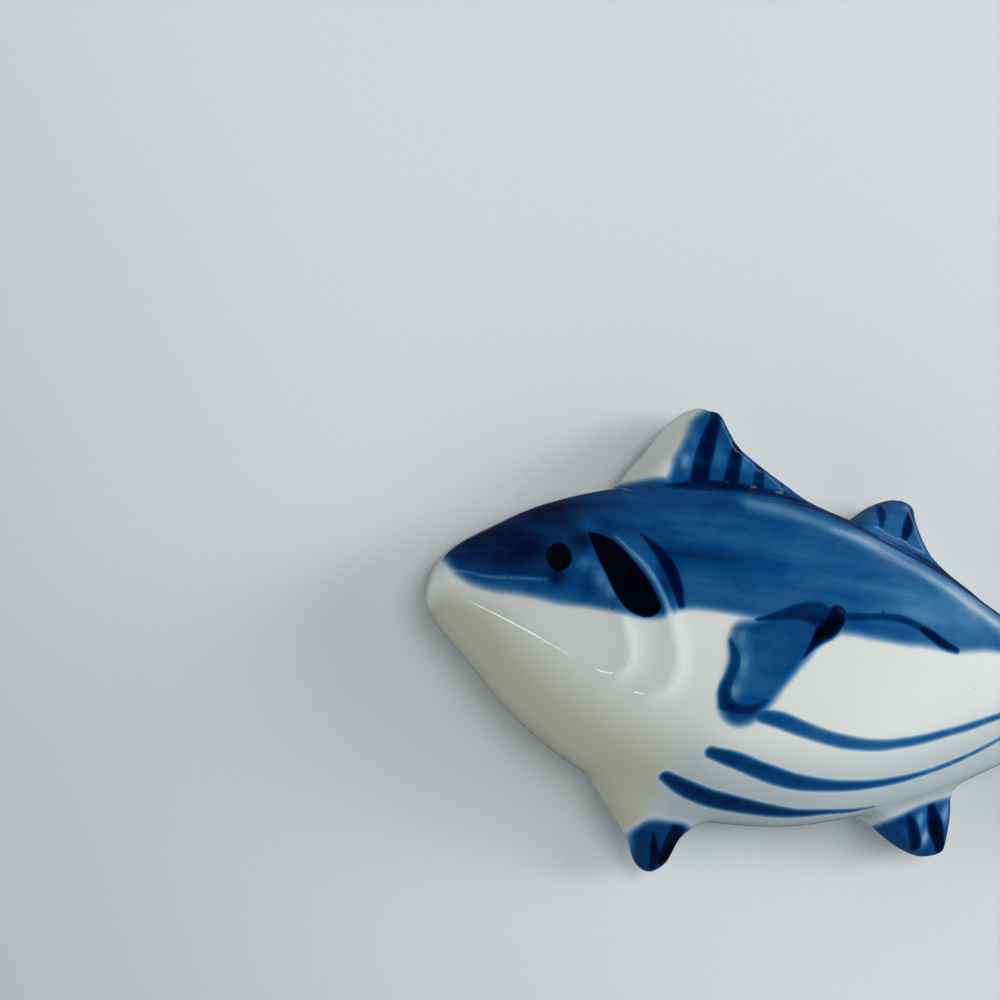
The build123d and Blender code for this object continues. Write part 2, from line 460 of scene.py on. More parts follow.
@dataclass
class Flank:
    """The low relief on the upper flank, and the sprigs that are cut from it."""
    front_gill: Rise = Rise(((10.4, 5.3), (10.8, 3.5), (11.7, 2.4), (12.8, 1.1), (13.4, -0.6), (14.1, -2.3),
                             (14.2, -3.7), (13.6, -4.5)), 0.75, 0.28)
    rear_gill: Rise = Rise(((12.6, 5.4), (14.0, 4.2), (15.2, 2.7), (16.3, 1.0), (17.2, -0.8), (17.7, -2.5),
                            (17.7, -4.0), (17.2, -5.1), (16.2, -5.7)), 0.8, 0.32)
    gill_half_width: float = 0.65
    pectoral: Pad = Pad(((23.5, 0.9), (25.8, 2.2), (28.1, 3.2), (30.0, 2.9), (30.6, 2.2), (30.3, 1.2),
                         (29.0, 0.3), (27.8, -1.1), (26.6, -2.9), (25.4, -4.8), (24.3, -6.4), (22.9, -7.0),
                         (21.8, -6.4), (21.3, -5.4), (21.4, -3.9), (21.7, -2.3), (21.5, -0.9), (21.7, 0.2)),
                        0.9, 0.3)
    front_slit: Pad = Pad(((10.6, 5.8), (11.7, 5.7), (12.9, 5.0), (13.8, 4.1), (14.8, 3.0), (15.7, 1.7),
                           (16.2, 0.5), (15.6, -0.1), (14.4, -0.1), (13.5, 0.3), (12.8, 1.1), (12.0, 2.5),
                           (11.1, 4.2)), 0.9, -0.05)
    rear_slit: Pad = Pad(((14.3, 6.1), (15.2, 5.6), (16.0, 4.6), (16.8, 3.3), (17.4, 2.0), (17.7, 1.0),
                          (17.0, 1.0), (16.0, 2.8), (15.1, 4.6)), 0.5, -0.03)
    mouth: Rise = Rise(((1.2, 1.5), (2.4, 1.5), (3.8, 1.35), (5.4, 1.45), (7.9, 1.65)), 0.22, -0.12)
    eye: Pad = Pad(((8.7, 4.75), (7.95, 4.3), (7.6, 3.5), (7.9, 2.7), (8.6, 2.2), (9.3, 2.6), (9.65, 3.4),
                    (9.4, 4.3)), 0.6, 0.04)
    jaw: Rise = Rise(((2.2, -0.3), (4.0, -1.0), (6.2, -1.9), (8.6, -2.9), (11.0, -3.8), (12.6, -4.4)),
                     0.4, 0.035)
    shoulder: Rise = Rise(((22.0, 10.9), (25.4, 10.6), (29.6, 9.9), (36.4, 8.1), (45.0, 4.6), (50.0, 2.6)),
                          1.5, 0.4)
    waves: tuple[tuple[float, float, float], ...] = (
        (0.33, 0.21, 0.4), (-0.19, 0.47, 2.1), (0.61, -0.29, 4.4))
    wave_height: float = 0.035

    def lift(self, x: Array, y: Array) -> Array:
        """Height of all relief over the plain flank, with the slight waves of a hand-pressed mould."""
        forms = (self.front_gill, self.rear_gill, self.pectoral, self.front_slit, self.rear_slit,
                 self.mouth, self.eye, self.jaw, self.shoulder)
        total = np.sum([form.lift(x, y) for form in forms], axis=0)
        for along, across, phase in self.waves:
            total = total + self.wave_height * np.sin(along * x + across * y + phase)
        return total


@dataclass
class Tuna:
    """The whole fish as one field of distances."""
    body: CastBody
    flank: Flank
    fins: tuple[Fin, ...]
    relief_from: float = 3.0
    relief_full: float = 6.0
    relief_start: tuple[float, float] = (0.3, 1.5)

    def distance(self, x: Array, y: Array, z: Array) -> Array:
        """Distance from the fish's skin, with arguments as for the body."""
        px, py = (np.array(a) for a in np.broadcast_arrays(x, y))
        shown = ease(z, self.relief_from, self.relief_full) * ease(x, *self.relief_start)
        skin = self.body.distance(x, y, z) - self.flank.lift(px, py) * shown
        for fin in self.fins:
            skin = soft_min(skin, fin.distance(x, y, z), fin.blend)
        return skin


@dataclass
class Skin:
    """A closed skin of triangles, with values at its points and the piece that each triangle belongs to."""
    points: Array
    triangles: Array
    normals: Array
    values: dict[str, Array]
    owners: Array

    @classmethod
    def round_field(cls, distance: Distance, low: Array, high: Array, step: float) -> "Skin":
        """Skins a field of distances and settles the skin's points on it.

        Args:
            distance: the field, below zero inside.
            low: the lowest corner of the space that holds the form.
            high: its highest corner.
            step: the side of a cell.
        Returns:
            The skin, all of it owned by the body.
        """
        sides = [np.arange(a, b + step, step) for a, b in zip(low, high)]
        x, y, z = sides[0][:, None, None], sides[1][None, :, None], sides[2][None, None, :]
        field = distance(x, y, z).astype(np.float32)
        inside = field < 0
        corners = np.array([(i, j, k) for i in (0, 1) for j in (0, 1) for k in (0, 1)])
        cells = np.array(field.shape) - 1
        filled = sum(inside[i:i + cells[0], j:j + cells[1], k:k + cells[2]].astype(np.uint8)
                     for i, j, k in corners)
        active = (filled > 0) & (filled < 8)
        at = np.argwhere(active)
        number = np.full(active.shape, -1)
        number[active] = np.arange(len(at))
        level = np.stack([field[tuple((at + c).T)] for c in corners], axis=1)
        total, count = np.zeros((len(at), 3)), np.zeros((len(at), 1))
        for p in range(8):
            for q in range(p + 1, 8):
                if np.abs(corners[p] - corners[q]).sum() == 1:
                    crosses = ((level[:, p] < 0) != (level[:, q] < 0))[:, None]
                    share = (level[:, p] / np.where(crosses[:, 0], level[:, p] - level[:, q], 1))[:, None]
                    total += np.where(crosses, corners[p] + share * (corners[q] - corners[p]), 0)
                    count += crosses
        points = np.array([s[0] for s in sides]) + (at + total / count) * step
        quads = []
        for axis in range(3):
            left, up = np.eye(3, dtype=int)[(axis + 1) % 3], np.eye(3, dtype=int)[(axis + 2) % 3]
            first, last = np.moveaxis(inside, axis, 0)[:-1], np.moveaxis(inside, axis, 0)[1:]
            edge = np.argwhere(np.moveaxis(first != last, 0, axis))
            ring = [number[tuple((edge - m).T)] for m in (left + up, up, 0 * up, left)]
            outward = inside[tuple(edge.T)][:, None]
            quads.append(np.where(outward, np.stack(ring, axis=1), np.stack(ring[::-1], axis=1)))
        points = cls.settle(points, distance, step)
        points[:, 2] = np.maximum(points[:, 2], 0)
        triangles = cls.halve(points, np.concatenate(quads))
        return cls(points, triangles, np.zeros_like(points), {}, np.zeros(len(triangles), int))

    @staticmethod
    def settle(points: Array, distance: Distance, step: float, rounds: int = 3, probe: float = 0.02,
               flattest: float = 0.05) -> Array:
        """Moves points onto the field's zero along its slope.

        Args:
            points: rows of x, y and z.
            distance: the field.
            step: the side of a cell, which no point moves by more than in a round.
            rounds: how often they are moved.
            probe: how far the slope is measured over.
            flattest: the least square of a slope that a move is worked out with.
        Returns:
            The moved points.
        """
        for _ in range(rounds):
            here = distance(*points.T)
            slope = np.stack([distance(*(points + probe * e).T) - here for e in np.eye(3)], axis=1) / probe
            move = here[:, None] * slope / np.maximum((slope * slope).sum(1), flattest)[:, None]
            points = points - np.clip(move, -step, step)
        return points

    @staticmethod
    def halve(points: Array, quads: Array) -> Array:
        """Cuts four-sided faces along their shorter diagonal."""
        a, b, c, d = quads.T
        short = np.linalg.norm(points[a] - points[c], axis=1) < np.linalg.norm(points[b] - points[d], axis=1)
        one = np.where(short[:, None], np.stack([a, b, c], 1), np.stack([a, b, d], 1))
        two = np.where(short[:, None], np.stack([a, c, d], 1), np.stack([b, c, d], 1))
        return np.concatenate([one, two])

    def give(self, depth: Array, owner: int, least: float = 0.08) -> None:
        """Gives an owner the body's skin where depth is above zero, with new points along the seam.

        Args:
            depth: a value for each point.
            owner: the number of the piece that gets it.
            least: the least share of an edge that stays on either side of the seam.
        """
        above = depth[self.triangles] > 0
        count = above.sum(1)
        free = self.owners == 0
        self.owners[free & (count == 3)] = owner
        mixed = free & (count > 0) & (count < 3)
        sides = above[mixed]
        lone = np.where(count[mixed] == 1, sides.argmax(1), sides.argmin(1))
        turned = np.take_along_axis(self.triangles[mixed], (lone[:, None] + np.arange(3)) % 3, axis=1)
        edges = np.sort(np.concatenate([turned[:, :2], turned[:, [0, 2]]]), axis=1)
        unique, place = np.unique(edges, axis=0, return_inverse=True)
        place = place.reshape(-1) + len(self.points)
        start, end = unique.T
        share = np.clip(depth[start] / (depth[start] - depth[end]), least, 1 - least)[:, None]
        crossing = self.points[start] * (1 - share) + self.points[end] * share
        self.points = np.concatenate([self.points, crossing])
        normal = self.normals[start] * (1 - share) + self.normals[end] * share
        self.normals = np.concatenate([self.normals, normal / np.linalg.norm(normal, axis=1)[:, None]])
        for name, value in self.values.items():
            between = value[start] * (1 - share[:, 0]) + value[end] * share[:, 0]
            self.values[name] = np.concatenate([value, between])
        near, far = place[:len(turned)], place[len(turned):]
        a, b, c = turned.T
        tips = np.stack([a, near, far], 1)
        rests = np.concatenate([np.stack([near, b, c], 1), np.stack([near, c, far], 1)])
        tip_owner = np.where(count[mixed] == 1, owner, 0)
        rest_owner = np.tile(owner - tip_owner, 2)
        self.triangles = np.concatenate([self.triangles[~mixed], tips, rests])
        self.owners = np.concatenate([self.owners[~mixed], tip_owner, rest_owner])

    def keep_main(self, owner: int) -> None:
        """Gives the body back every patch of an owner's skin but the largest."""
        own = np.flatnonzero(self.owners == owner)
        corners = self.triangles[own]
        patch = np.arange(len(self.points))
        before = np.zeros_like(patch)
        while (patch != before).any():
            before = patch.copy()
            np.minimum.at(patch, corners, patch[corners].min(1, keepdims=True))
            patch = patch[patch]
        names, sizes = np.unique(patch[corners[:, 0]], return_counts=True)
        self.owners[own[patch[corners[:, 0]] != names[sizes.argmax()]]] = 0

    def seam(self, owner: int) -> Array:
        """The edges along which an owner's skin ends, each in the direction that its triangle has."""
        own = self.triangles[self.owners == owner]
        edges = np.concatenate([own[:, [0, 1]], own[:, [1, 2]], own[:, [2, 0]]])
        total = len(self.points)
        ahead, back = edges[:, 0] * total + edges[:, 1], edges[:, 1] * total + edges[:, 0]
        return edges[~np.isin(ahead, back)]

    def loops(self, owner: int) -> list[list[int]]:
        """The closed loops of an owner's seam."""
        after = {int(a): int(b) for a, b in self.seam(owner)}
        found = []
        while after:
            first, at = after.popitem()
            loop = [first]
            while at != first:
                loop.append(at)
                at = after.pop(at)
            found.append(loop)
        return found

    def below(self, used: Array, depth: float) -> Array:
        """Adds copies of points that lie depth below the skin.

        Args:
            used: the numbers of the points.
            depth: how far below the skin the copies lie.
        Returns:
            The copies' numbers.
        """
        first = len(self.points)
        self.points = np.concatenate([self.points, self.points[used] - depth * self.normals[used]])
        self.normals = np.concatenate([self.normals, self.normals[used]])
        for name, value in self.values.items():
            self.values[name] = np.concatenate([value, value[used]])
        return first + np.arange(len(used))

    def cap(self, owner: int, axes: tuple[int, int], depth: float) -> Array:
        """Closes an owner's seam with a wall into the body and a floor at its foot.

        Args:
            owner: the number of the piece.
            axes: the two directions in which the seam is laid flat.
            depth: how far below the skin the floor's edge lies.
        Returns:
            Triangles, which turned round close the body's side of the seam.
        """
        made = []
        for loop in self.loops(owner):
            ring = np.array(loop)
            deep = self.below(ring, depth)
            after, deep_after = np.roll(ring, -1), np.roll(deep, -1)
            made += [np.stack([after, ring, deep], 1), np.stack([after, deep, deep_after], 1)]
            flat = self.points[deep][:, axes]
            area = self.area(flat, np.roll(flat, -1, axis=0))
            filled = np.array(tessellate_polygon([[Vector((p[0], p[1], 0)) for p in flat]]))
            corner = flat[filled]
            turn = (np.cross(corner[:, 1] - corner[:, 0], corner[:, 2] - corner[:, 0]) > 0) == (area > 0)
            made.append(np.where(turn[:, None], deep[filled][:, ::-1], deep[filled]))
        return np.concatenate(made)

    @staticmethod
    def area(start: Array, end: Array) -> float:
        """Twice the area that a loop of edges encloses, above zero where it runs against the clock."""
        return float((start[:, 0] * end[:, 1] - start[:, 1] * end[:, 0]).sum())

    def sink(self, owner: int, depth: float) -> tuple[Array, Array]:
        """Gives a sprig its thickness: a copy of its skin deeper in the body, and a wall round both.

        Args:
            owner: the number of the sprig.
            depth: how far below the skin its back lies.
        Returns:
            The triangles that close the sprig, and those that line its seat in the body.
        """
        own = self.triangles[self.owners == owner]
        seam = self.seam(owner)
        used = np.unique(own)
        deep = np.full(used.max() + 1, -1)
        deep[used] = self.below(used, depth)
        a, b = seam.T
        wall = np.concatenate([np.stack([b, a, deep[a]], 1), np.stack([b, deep[a], deep[b]], 1)])
        back = deep[own]
        return np.concatenate([back[:, ::-1], wall]), np.concatenate([back, wall[:, ::-1]])


@dataclass
class RayGrooves:
    """The grooves that the mould leaves along the fin rays, cut into the skin by nodes."""
    depth: float = 0.08
    half_width: float = 0.75
    distance_name: str = "ray_mm"
    share_name: str = "ray_share"
    wall_fade: tuple[float, float] = (0.3, 0.6)
    root_fade: tuple[float, float] = (-0.2, 0.8)
    foot_fade: tuple[float, float] = (1.8, 2.8)

    def tree(self) -> bpy.types.GeometryNodeTree:
        """Builds the nodes that sink the skin near the middle of each ray.

        Returns:
            The tree, with the grooves' sizes and the finish as inputs.
        """
        tree = bpy.data.node_groups.new("fin_ray_grooves", "GeometryNodeTree")
        tree.interface.new_socket("Skin", in_out="INPUT", socket_type="NodeSocketGeometry")
        for name in ("Groove Depth", "Groove Half Width"):
            tree.interface.new_socket(name, in_out="INPUT", socket_type="NodeSocketFloat")
        tree.interface.new_socket("Finish", in_out="INPUT", socket_type="NodeSocketMaterial")
        tree.interface.new_socket("Skin", in_out="OUTPUT", socket_type="NodeSocketGeometry")
        given = add_node(tree, "NodeGroupInput").outputs
        ray, share = (add_node(tree, "GeometryNodeInputNamedAttribute", {"Name": name}, data_type="FLOAT")
                      for name in (self.distance_name, self.share_name))
        sunk = add_node(tree, "ShaderNodeMapRange", {
            "Value": ray.outputs["Attribute"], "From Min": 0.0, "From Max": given["Groove Half Width"],
            "To Min": given["Groove Depth"], "To Max": 0.0}, interpolation_type="SMOOTHSTEP")
        kept = add_node(tree, "ShaderNodeMath", {0: sunk.outputs["Result"], 1: share.outputs["Attribute"]},
                        operation="MULTIPLY")
        normal = add_node(tree, "GeometryNodeInputNormal").outputs["Normal"]
        upward = add_node(tree, "ShaderNodeSeparateXYZ", {0: normal})
        metres = add_node(tree, "ShaderNodeMapRange", {
            "Value": upward.outputs["Z"], "From Min": self.wall_fade[0], "From Max": self.wall_fade[1],
            "To Min": 0.0, "To Max": -MM})
        move = add_node(tree, "ShaderNodeMath", {0: kept.outputs["Value"], 1: metres.outputs["Result"]},
                        operation="MULTIPLY")
        offset = add_node(tree, "ShaderNodeVectorMath", {0: normal, "Scale": move.outputs["Value"]},
                          operation="SCALE")
        moved = add_node(tree, "GeometryNodeSetPosition", {
            "Geometry": given["Skin"], "Offset": offset.outputs["Vector"]})
        whole = add_node(tree, "GeometryNodeRealizeInstances", {"Geometry": moved.outputs["Geometry"]})
        dressed = add_node(tree, "GeometryNodeSetMaterial",
                           {"Geometry": whole.outputs["Geometry"], "Material": given["Finish"]})
        add_node(tree, "NodeGroupOutput", {"Skin": dressed.outputs["Geometry"]})
        return tree

    def cut_into(self, skin: Skin, datum: Datum, fins: Sequence[Fin], body: CastBody,
                 finish: bpy.types.Material) -> None:
        """Cuts the grooves into a skin and measures its normals.

        Args:
            skin: the skin, whose points and normals change.
            datum: where it lies in the row frame.
            fins: the fins, whose rays are followed.
            body: the body, which stays plain.
            finish: the finish that the nodes set.
        """
        x, y, z = skin.points.T
        ray = np.minimum.reduce([fin.ray_distance(x, y) for fin in fins])
        back, belly, *_ = body.outline(x)
        off_body = np.maximum.reduce([y - back, belly - y, x - fins[-1].root[0]])
        share = ease(off_body, *self.root_fade) * ease(z, *self.foot_fade)
        mesh = new_mesh("skin", datum.place(skin.points), skin.triangles,
                        {self.distance_name: ray, self.share_name: share})
        holder = put_in_scene("skin", mesh)
        grooves = holder.modifiers.new("grooves", "NODES")
        tree = self.tree()
        sizes = {"Groove Depth": self.depth, "Groove Half Width": self.half_width, "Finish": finish}
        for socket in tree.interface.items_tree:
            if socket.in_out == "INPUT" and socket.name in sizes:
                sizes[socket.identifier] = sizes.pop(socket.name)
        grooves.node_group = tree
        for identifier, value in sizes.items():
            grooves[identifier] = value
        made = bpy.data.meshes.new_from_object(holder.evaluated_get(bpy.context.evaluated_depsgraph_get()))
        holder.modifiers.remove(grooves)
        moved, normals = np.zeros(skin.points.size), np.zeros(skin.points.size)
        made.vertices.foreach_get("co", moved)
        made.vertex_normals.foreach_get("vector", normals)
        skin.points = datum.measure(moved.reshape(-1, 3))
        skin.normals = normals.reshape(-1, 3)
        bpy.data.objects.remove(holder)
        for spare in (mesh, made):
            bpy.data.meshes.remove(spare)
        bpy.data.node_groups.remove(tree)


@dataclass(frozen=True)
class Wash:
    """An area of thin blue wash: its outline, how dense it is, and whether it lies on a fin or sprig."""
    outline: Points
    tone: float
    on_fin: bool = True


@dataclass(frozen=True)
class Pool:
    """A soft place where the wash is denser or thinner: its middle, its reach both ways and the change."""
    middle: tuple[float, float]
    reach: tuple[float, float]
    change: float

    def share(self, x: Array, y: Array) -> Array:
        """How much of the change there is at places on the flank."""
        along = (x - self.middle[0]) / self.reach[0]
        across = (y - self.middle[1]) / self.reach[1]
        return np.exp(-along ** 2 - across ** 2)


@dataclass(frozen=True)
class Stain:
    """A tint of the glaze along the belly, partly painted shade: where it fades inward, where it starts and
    where it ends.
    """
    inward: tuple[float, float]
    start: tuple[float, float]
    end: tuple[float, float]

    def share(self, x: Array, inward: Array) -> Array:
        """How strong the tint is at places along the fish and in from the belly's edge."""
        return (1 - ease(inward, *self.inward)) * ease(x, *self.start) * (1 - ease(x, *self.end))


@dataclass(frozen=True)
class GlazeTints:
    """Tints of the white glaze, each partly its own and partly painted shade: darker and yellowing low on
    steep walls and on the chin, where the glaze lies thicker, and grey-blue low on the belly, where cobalt
    strayed into it.
    """
    chin: Stain = Stain((1.5, 7.5), (0.0, 1.0), (18.0, 22.0))
    chin_top: tuple[float, float] = (-1.5, 1.0)
    chin_warmth_and_shade: float = 0.58
    # Painted grey-blue shade low on the belly, together with cobalt that strayed into the glaze
    bled_and_shade: Stain = Stain((2.5, 8.0), (17.5, 21.0), (48.0, 58.0))
    steep_normal: tuple[float, float] = (0.45, 0.95)
    steep_height: tuple[float, float] = (3.0, 10.5)
    steep_start: tuple[float, float] = (1.5, 6.0)
    steep_back: tuple[float, float] = (-2.0, 3.0)
    back_loss: float = 0.75
    steep_warmth_and_shade: float = 0.6

    def values(self, skin: Skin, belly: Array) -> dict[str, Array]:
        """Gives the tints at a skin's points.

        Args:
            skin: the skin.
            belly: where the edge of the body's belly lies beside each point.
        Returns:
            a tint for thicker, yellowing glaze with painted shade on steep walls and the chin, and a tint for
            cobalt that strayed into the glaze with painted grey-blue shade low on the belly.
        """
        x, y, z = skin.points.T
        # Painted shade with thicker glaze: a tint where the skin faces sideways and lies low, weaker towards
        # the back, and another on the chin
        steep = (1 - ease(skin.normals[:, 2], *self.steep_normal)) * (1 - ease(z, *self.steep_height))
        steep = steep * ease(x, *self.steep_start) * (1 - self.back_loss * ease(y, *self.steep_back))
        chin = self.chin.share(x, y - belly) * (1 - ease(y, *self.chin_top))
        warm_and_shade = np.maximum(self.steep_warmth_and_shade * steep, self.chin_warmth_and_shade * chin)
        return {"warm_and_shade": warm_and_shade, "bled_and_shade": self.bled_and_shade.share(x, y - belly)}


@dataclass
class Brushwork:
    """The cobalt painting, as values at the skin's points that the finish reads.

    Washes are thin and broad, and pools and paler lines change how dense they are; some pools are partly
    painted shade and some partly a painted sheen, and the paler line along the back's ridge is partly a
    painted sheen.
    Rays are strokes that stay on a fin's wash. Inks are black areas, bare lines are where the brush stayed
    off, and at folds the glaze wrinkled. Of the values, wash_mm, stroke_mm, ink_mm and bare_mm say how far
    inside a painted or a bare place a point lies. tone is the density of the wash there and load that of the
    stroke.
    ripple says how wrinkled the glaze is, and the tints add their own values, which are partly painted shade.
    """
    washes: tuple[Wash, ...]
    rays: tuple[Stroke, ...]
    strokes: tuple[Stroke, ...]
    inks: tuple[Points, ...]
    bare: tuple[Points, ...]
    pools: tuple[Pool, ...]
    worn_and_sheen: tuple[Rise, ...]
    folds: tuple[Pool, ...]
    overrun: float = 0.25
    tone_edge: float = 0.35
    tone_range: tuple[float, float] = (0.1, 0.86)
    plain_tone: float = 0.5
    plain_load: float = 0.7
    ray_margin: float = 0.1
    wash_wobble: float = 0.06
    stroke_wobble: float = 0.024
    under_fade: tuple[float, float] = (-0.12, 0.18)
    edge_load: float = 0.78
    edge_width: tuple[float, float] = (-0.1, 0.45)
    tints: GlazeTints = GlazeTints()

    def paint(self, skin: Skin, body: CastBody) -> None:
        """Writes the painting's values to a skin.

        Args:
            skin: the skin that is painted.
            body: the body, whose back line ends the wash of the flank.
        """
        x, y, _ = skin.points.T
        back, belly, *_ = body.outline(x)
        over_back = np.maximum(y - back, belly - y)
        wash, tone = np.full(x.shape, -FAR), np.full(x.shape, self.plain_tone)
        for area in self.washes:
            depth = -outline_distance(x, y, curve_through(area.outline, closed=True))
            if not area.on_fin:
                depth = np.where(close_to(x, y, np.array(area.outline)), depth, -FAR)
                depth = np.minimum(depth, self.overrun - over_back)
            share = ease(depth, -self.tone_edge, self.tone_edge)
            tone = tone + share * (area.tone - tone)
            wash = np.maximum(wash, depth)
        for pool in self.pools:
            tone = tone + pool.change * pool.share(x, y)
        # Paler lines where the wash drew back, partly a painted sheen
        for line in self.worn_and_sheen:
            tone = tone + line.lift(x, y)
        stroke, load = np.full(x.shape, -FAR), np.full(x.shape, self.plain_load)
        for pull in self.rays + self.strokes:
            depth = -line_distance(x, y, pull.line())
            if pull in self.rays:
                depth = np.minimum(depth, wash - self.ray_margin)
            load = np.where(depth > stroke, pull.load, load)
            stroke = np.maximum(stroke, depth)
        ink = np.maximum.reduce([-outline_distance(x, y, curve_through(i, closed=True)) for i in self.inks])
        bare = np.maximum.reduce([-line_distance(x, y, curve_through(b)) for b in self.bare])
        underneath = FAR * (1 - ease(skin.normals[:, 2], *self.under_fade))
        # The hand's slight wander along every edge
        waver = np.sin(1.1 * x + 1.1 * np.sin(0.9 * y)) * np.sin(1.3 * y + 1.3 * np.sin(0.7 * x))
        ripple = np.zeros(x.shape)
        for fold in self.folds:
            ripple = ripple + fold.change * fold.share(x, y)
        # A stroke is paler along its edge
        load = load * (self.edge_load + (1 - self.edge_load) * ease(stroke, *self.edge_width))
        skin.values = {
            "wash_mm": wash + self.wash_wobble * waver - underneath,
            "stroke_mm": stroke + self.stroke_wobble * waver - underneath,
            "ink_mm": ink - underneath, "bare_mm": bare, "tone": np.clip(tone, *self.tone_range),
            "load": load, "ripple": ripple, **self.tints.values(skin, belly),
        }


@dataclass(frozen=True)
class Dots:
    """Small flaws in the glaze: spacing, size, share of places, colour, strength, ground and core."""
    spacing: float
    size: float
    share: float
    colour: str
    strength: float
    on_blue: bool
    core: float = 0.6


@dataclass(frozen=True)
class PaintedGlaze:
    """White porcelain, painted in cobalt under a clear glaze that was fired to a gloss.

    The eye gets a cool white, darker and yellower low on the walls and on the chin from thicker glaze and
    painted shade, grey-blue low on the belly from strayed cobalt and painted shade, blue that goes from a
    pale wash to almost black where the brush was full, soft edges where the cobalt spread, and sharp
    reflections over all.
    """
    name: str
    white: str = "#d2d6d2"
    # Tint colours: thicker glaze with painted shade on the walls and chin, and painted grey-blue shade with
    # strayed cobalt low on the belly
    pooled_and_shaded: str = "#908d69"
    bled_and_shade: str = "#a8b4b7"
    cobalt: tuple[tuple[float, str], ...] = (
        (0.0, "#d2d6d2"), (0.14, "#a0b2c1"), (0.32, "#5580a3"), (0.48, "#255f8e"), (0.62, "#08457b"),
        (0.76, "#032d5a"), (0.88, "#01113a"), (1.0, "#010307"),
    )
    flaws: tuple[Dots, ...] = (Dots(2.6, 0.11, 0.3, "#6f6a58", 0.55, False),
                               Dots(3.1, 0.085, 0.16, "#c6cbc8", 0.8, True))
    roughness: float = 0.12
    ior: float = 1.5
    specular: float = 0.25
    wash_bleed: float = 0.56
    stroke_bleed: float = 0.24
    ink_bleed: float = 0.16
    bare_bleed: float = 0.2
    bare_tone: float = 0.42
    ink_density: float = 0.99
    painted_from: float = 0.16
    blue_from: float = 0.3
    noise_range: tuple[float, float] = (0.3, 0.7)
    streak: tuple[float, float, float] = (16.0, 1.3, 4.0)
    streak_turn: float = -4.0
    streak_depth: float = 0.038
    cloud_width: float = 3.5
    cloud_depth: float = 0.035
    peel_width: float = 2.2
    peel_height: float = 0.006
    wrinkle_width: float = 0.5
    wrinkle_height: float = 0.05

    def density(self, tree: bpy.types.NodeTree, place: bpy.types.NodeSocket) -> bpy.types.NodeSocket:
        """Builds how dense the cobalt is.

        Args:
            tree: the material's nodes.
            place: where the surface lies on the piece.
        Returns:
            The density, from 0 for bare white to 1 for black.
        """
        given = {name: add_node(tree, "ShaderNodeAttribute", attribute_name=name).outputs["Fac"]
                 for name in ("wash_mm", "stroke_mm", "ink_mm", "bare_mm", "tone", "load")}
        cover = {}
        for name, bleed, least, most in (
                ("wash_mm", self.wash_bleed, 0.0, 1.0), ("stroke_mm", self.stroke_bleed, 0.0, 1.0),
                ("ink_mm", self.ink_bleed, 0.0, self.ink_density),
                ("bare_mm", self.bare_bleed, 1.0, self.bare_tone)):
            cover[name] = add_node(tree, "ShaderNodeMapRange", {
                "Value": given[name], "From Min": -bleed, "From Max": bleed, "To Min": least, "To Max": most},
                interpolation_type="SMOOTHSTEP").outputs["Result"]
        drawn = add_node(tree, "ShaderNodeMapping", {
            "Vector": place, "Rotation": (0.0, 0.0, math.radians(self.streak_turn)),
            "Scale": tuple(1 / (size * MM) for size in self.streak)}).outputs["Vector"]
        brushed: Any = 0.0
        for vector, scale, depth in ((drawn, 1.0, self.streak_depth),
                                     (place, 1 / (self.cloud_width * MM), self.cloud_depth)):
            noise = add_node(tree, "ShaderNodeTexNoise", {
                "Vector": vector, "Scale": scale, "Detail": 4.0, "Roughness": 0.6, "Distortion": 0.3})
            level = add_node(tree, "ShaderNodeMapRange", {
                "Value": noise.outputs["Fac"], "From Min": self.noise_range[0],
                "From Max": self.noise_range[1], "To Min": -depth, "To Max": depth},
                interpolation_type="SMOOTHSTEP")
            brushed = add_node(tree, "ShaderNodeMath", {0: brushed, 1: level.outputs["Result"]},
                               operation="ADD").outputs["Value"]
        paint = cover["ink_mm"]
        for name, strength in (("wash_mm", "tone"), ("stroke_mm", "load")):
            uneven = add_node(tree, "ShaderNodeMath", {0: given[strength], 1: brushed}, operation="ADD")
            laid = add_node(tree, "ShaderNodeMath", {0: cover[name], 1: uneven.outputs["Value"]},
                            operation="MULTIPLY")
            paint = add_node(tree, "ShaderNodeMath", {0: paint, 1: laid.outputs["Value"]},
                             operation="MAXIMUM").outputs["Value"]
        return add_node(tree, "ShaderNodeMath", {0: paint, 1: cover["bare_mm"]}, operation="MULTIPLY",
                        use_clamp=True).outputs["Value"]

    def colour(self, tree: bpy.types.NodeTree, place: bpy.types.NodeSocket,
               density: bpy.types.NodeSocket) -> bpy.types.NodeSocket:
        """Builds the colour of the painted glaze with its flaws.

        Args:
            tree: the material's nodes.
            place: where the surface lies on the piece.
            density: how dense the cobalt is.
        Returns:
            The colour.
        """
        ramp = add_node(tree, "ShaderNodeValToRGB", {"Fac": density})
        stops = ramp.color_ramp.elements
        while len(stops) < len(self.cobalt):
            stops.new(0.5)
        for stop, (position, colour) in zip(stops, self.cobalt):
            stop.position = position
            stop.color = linear(colour)
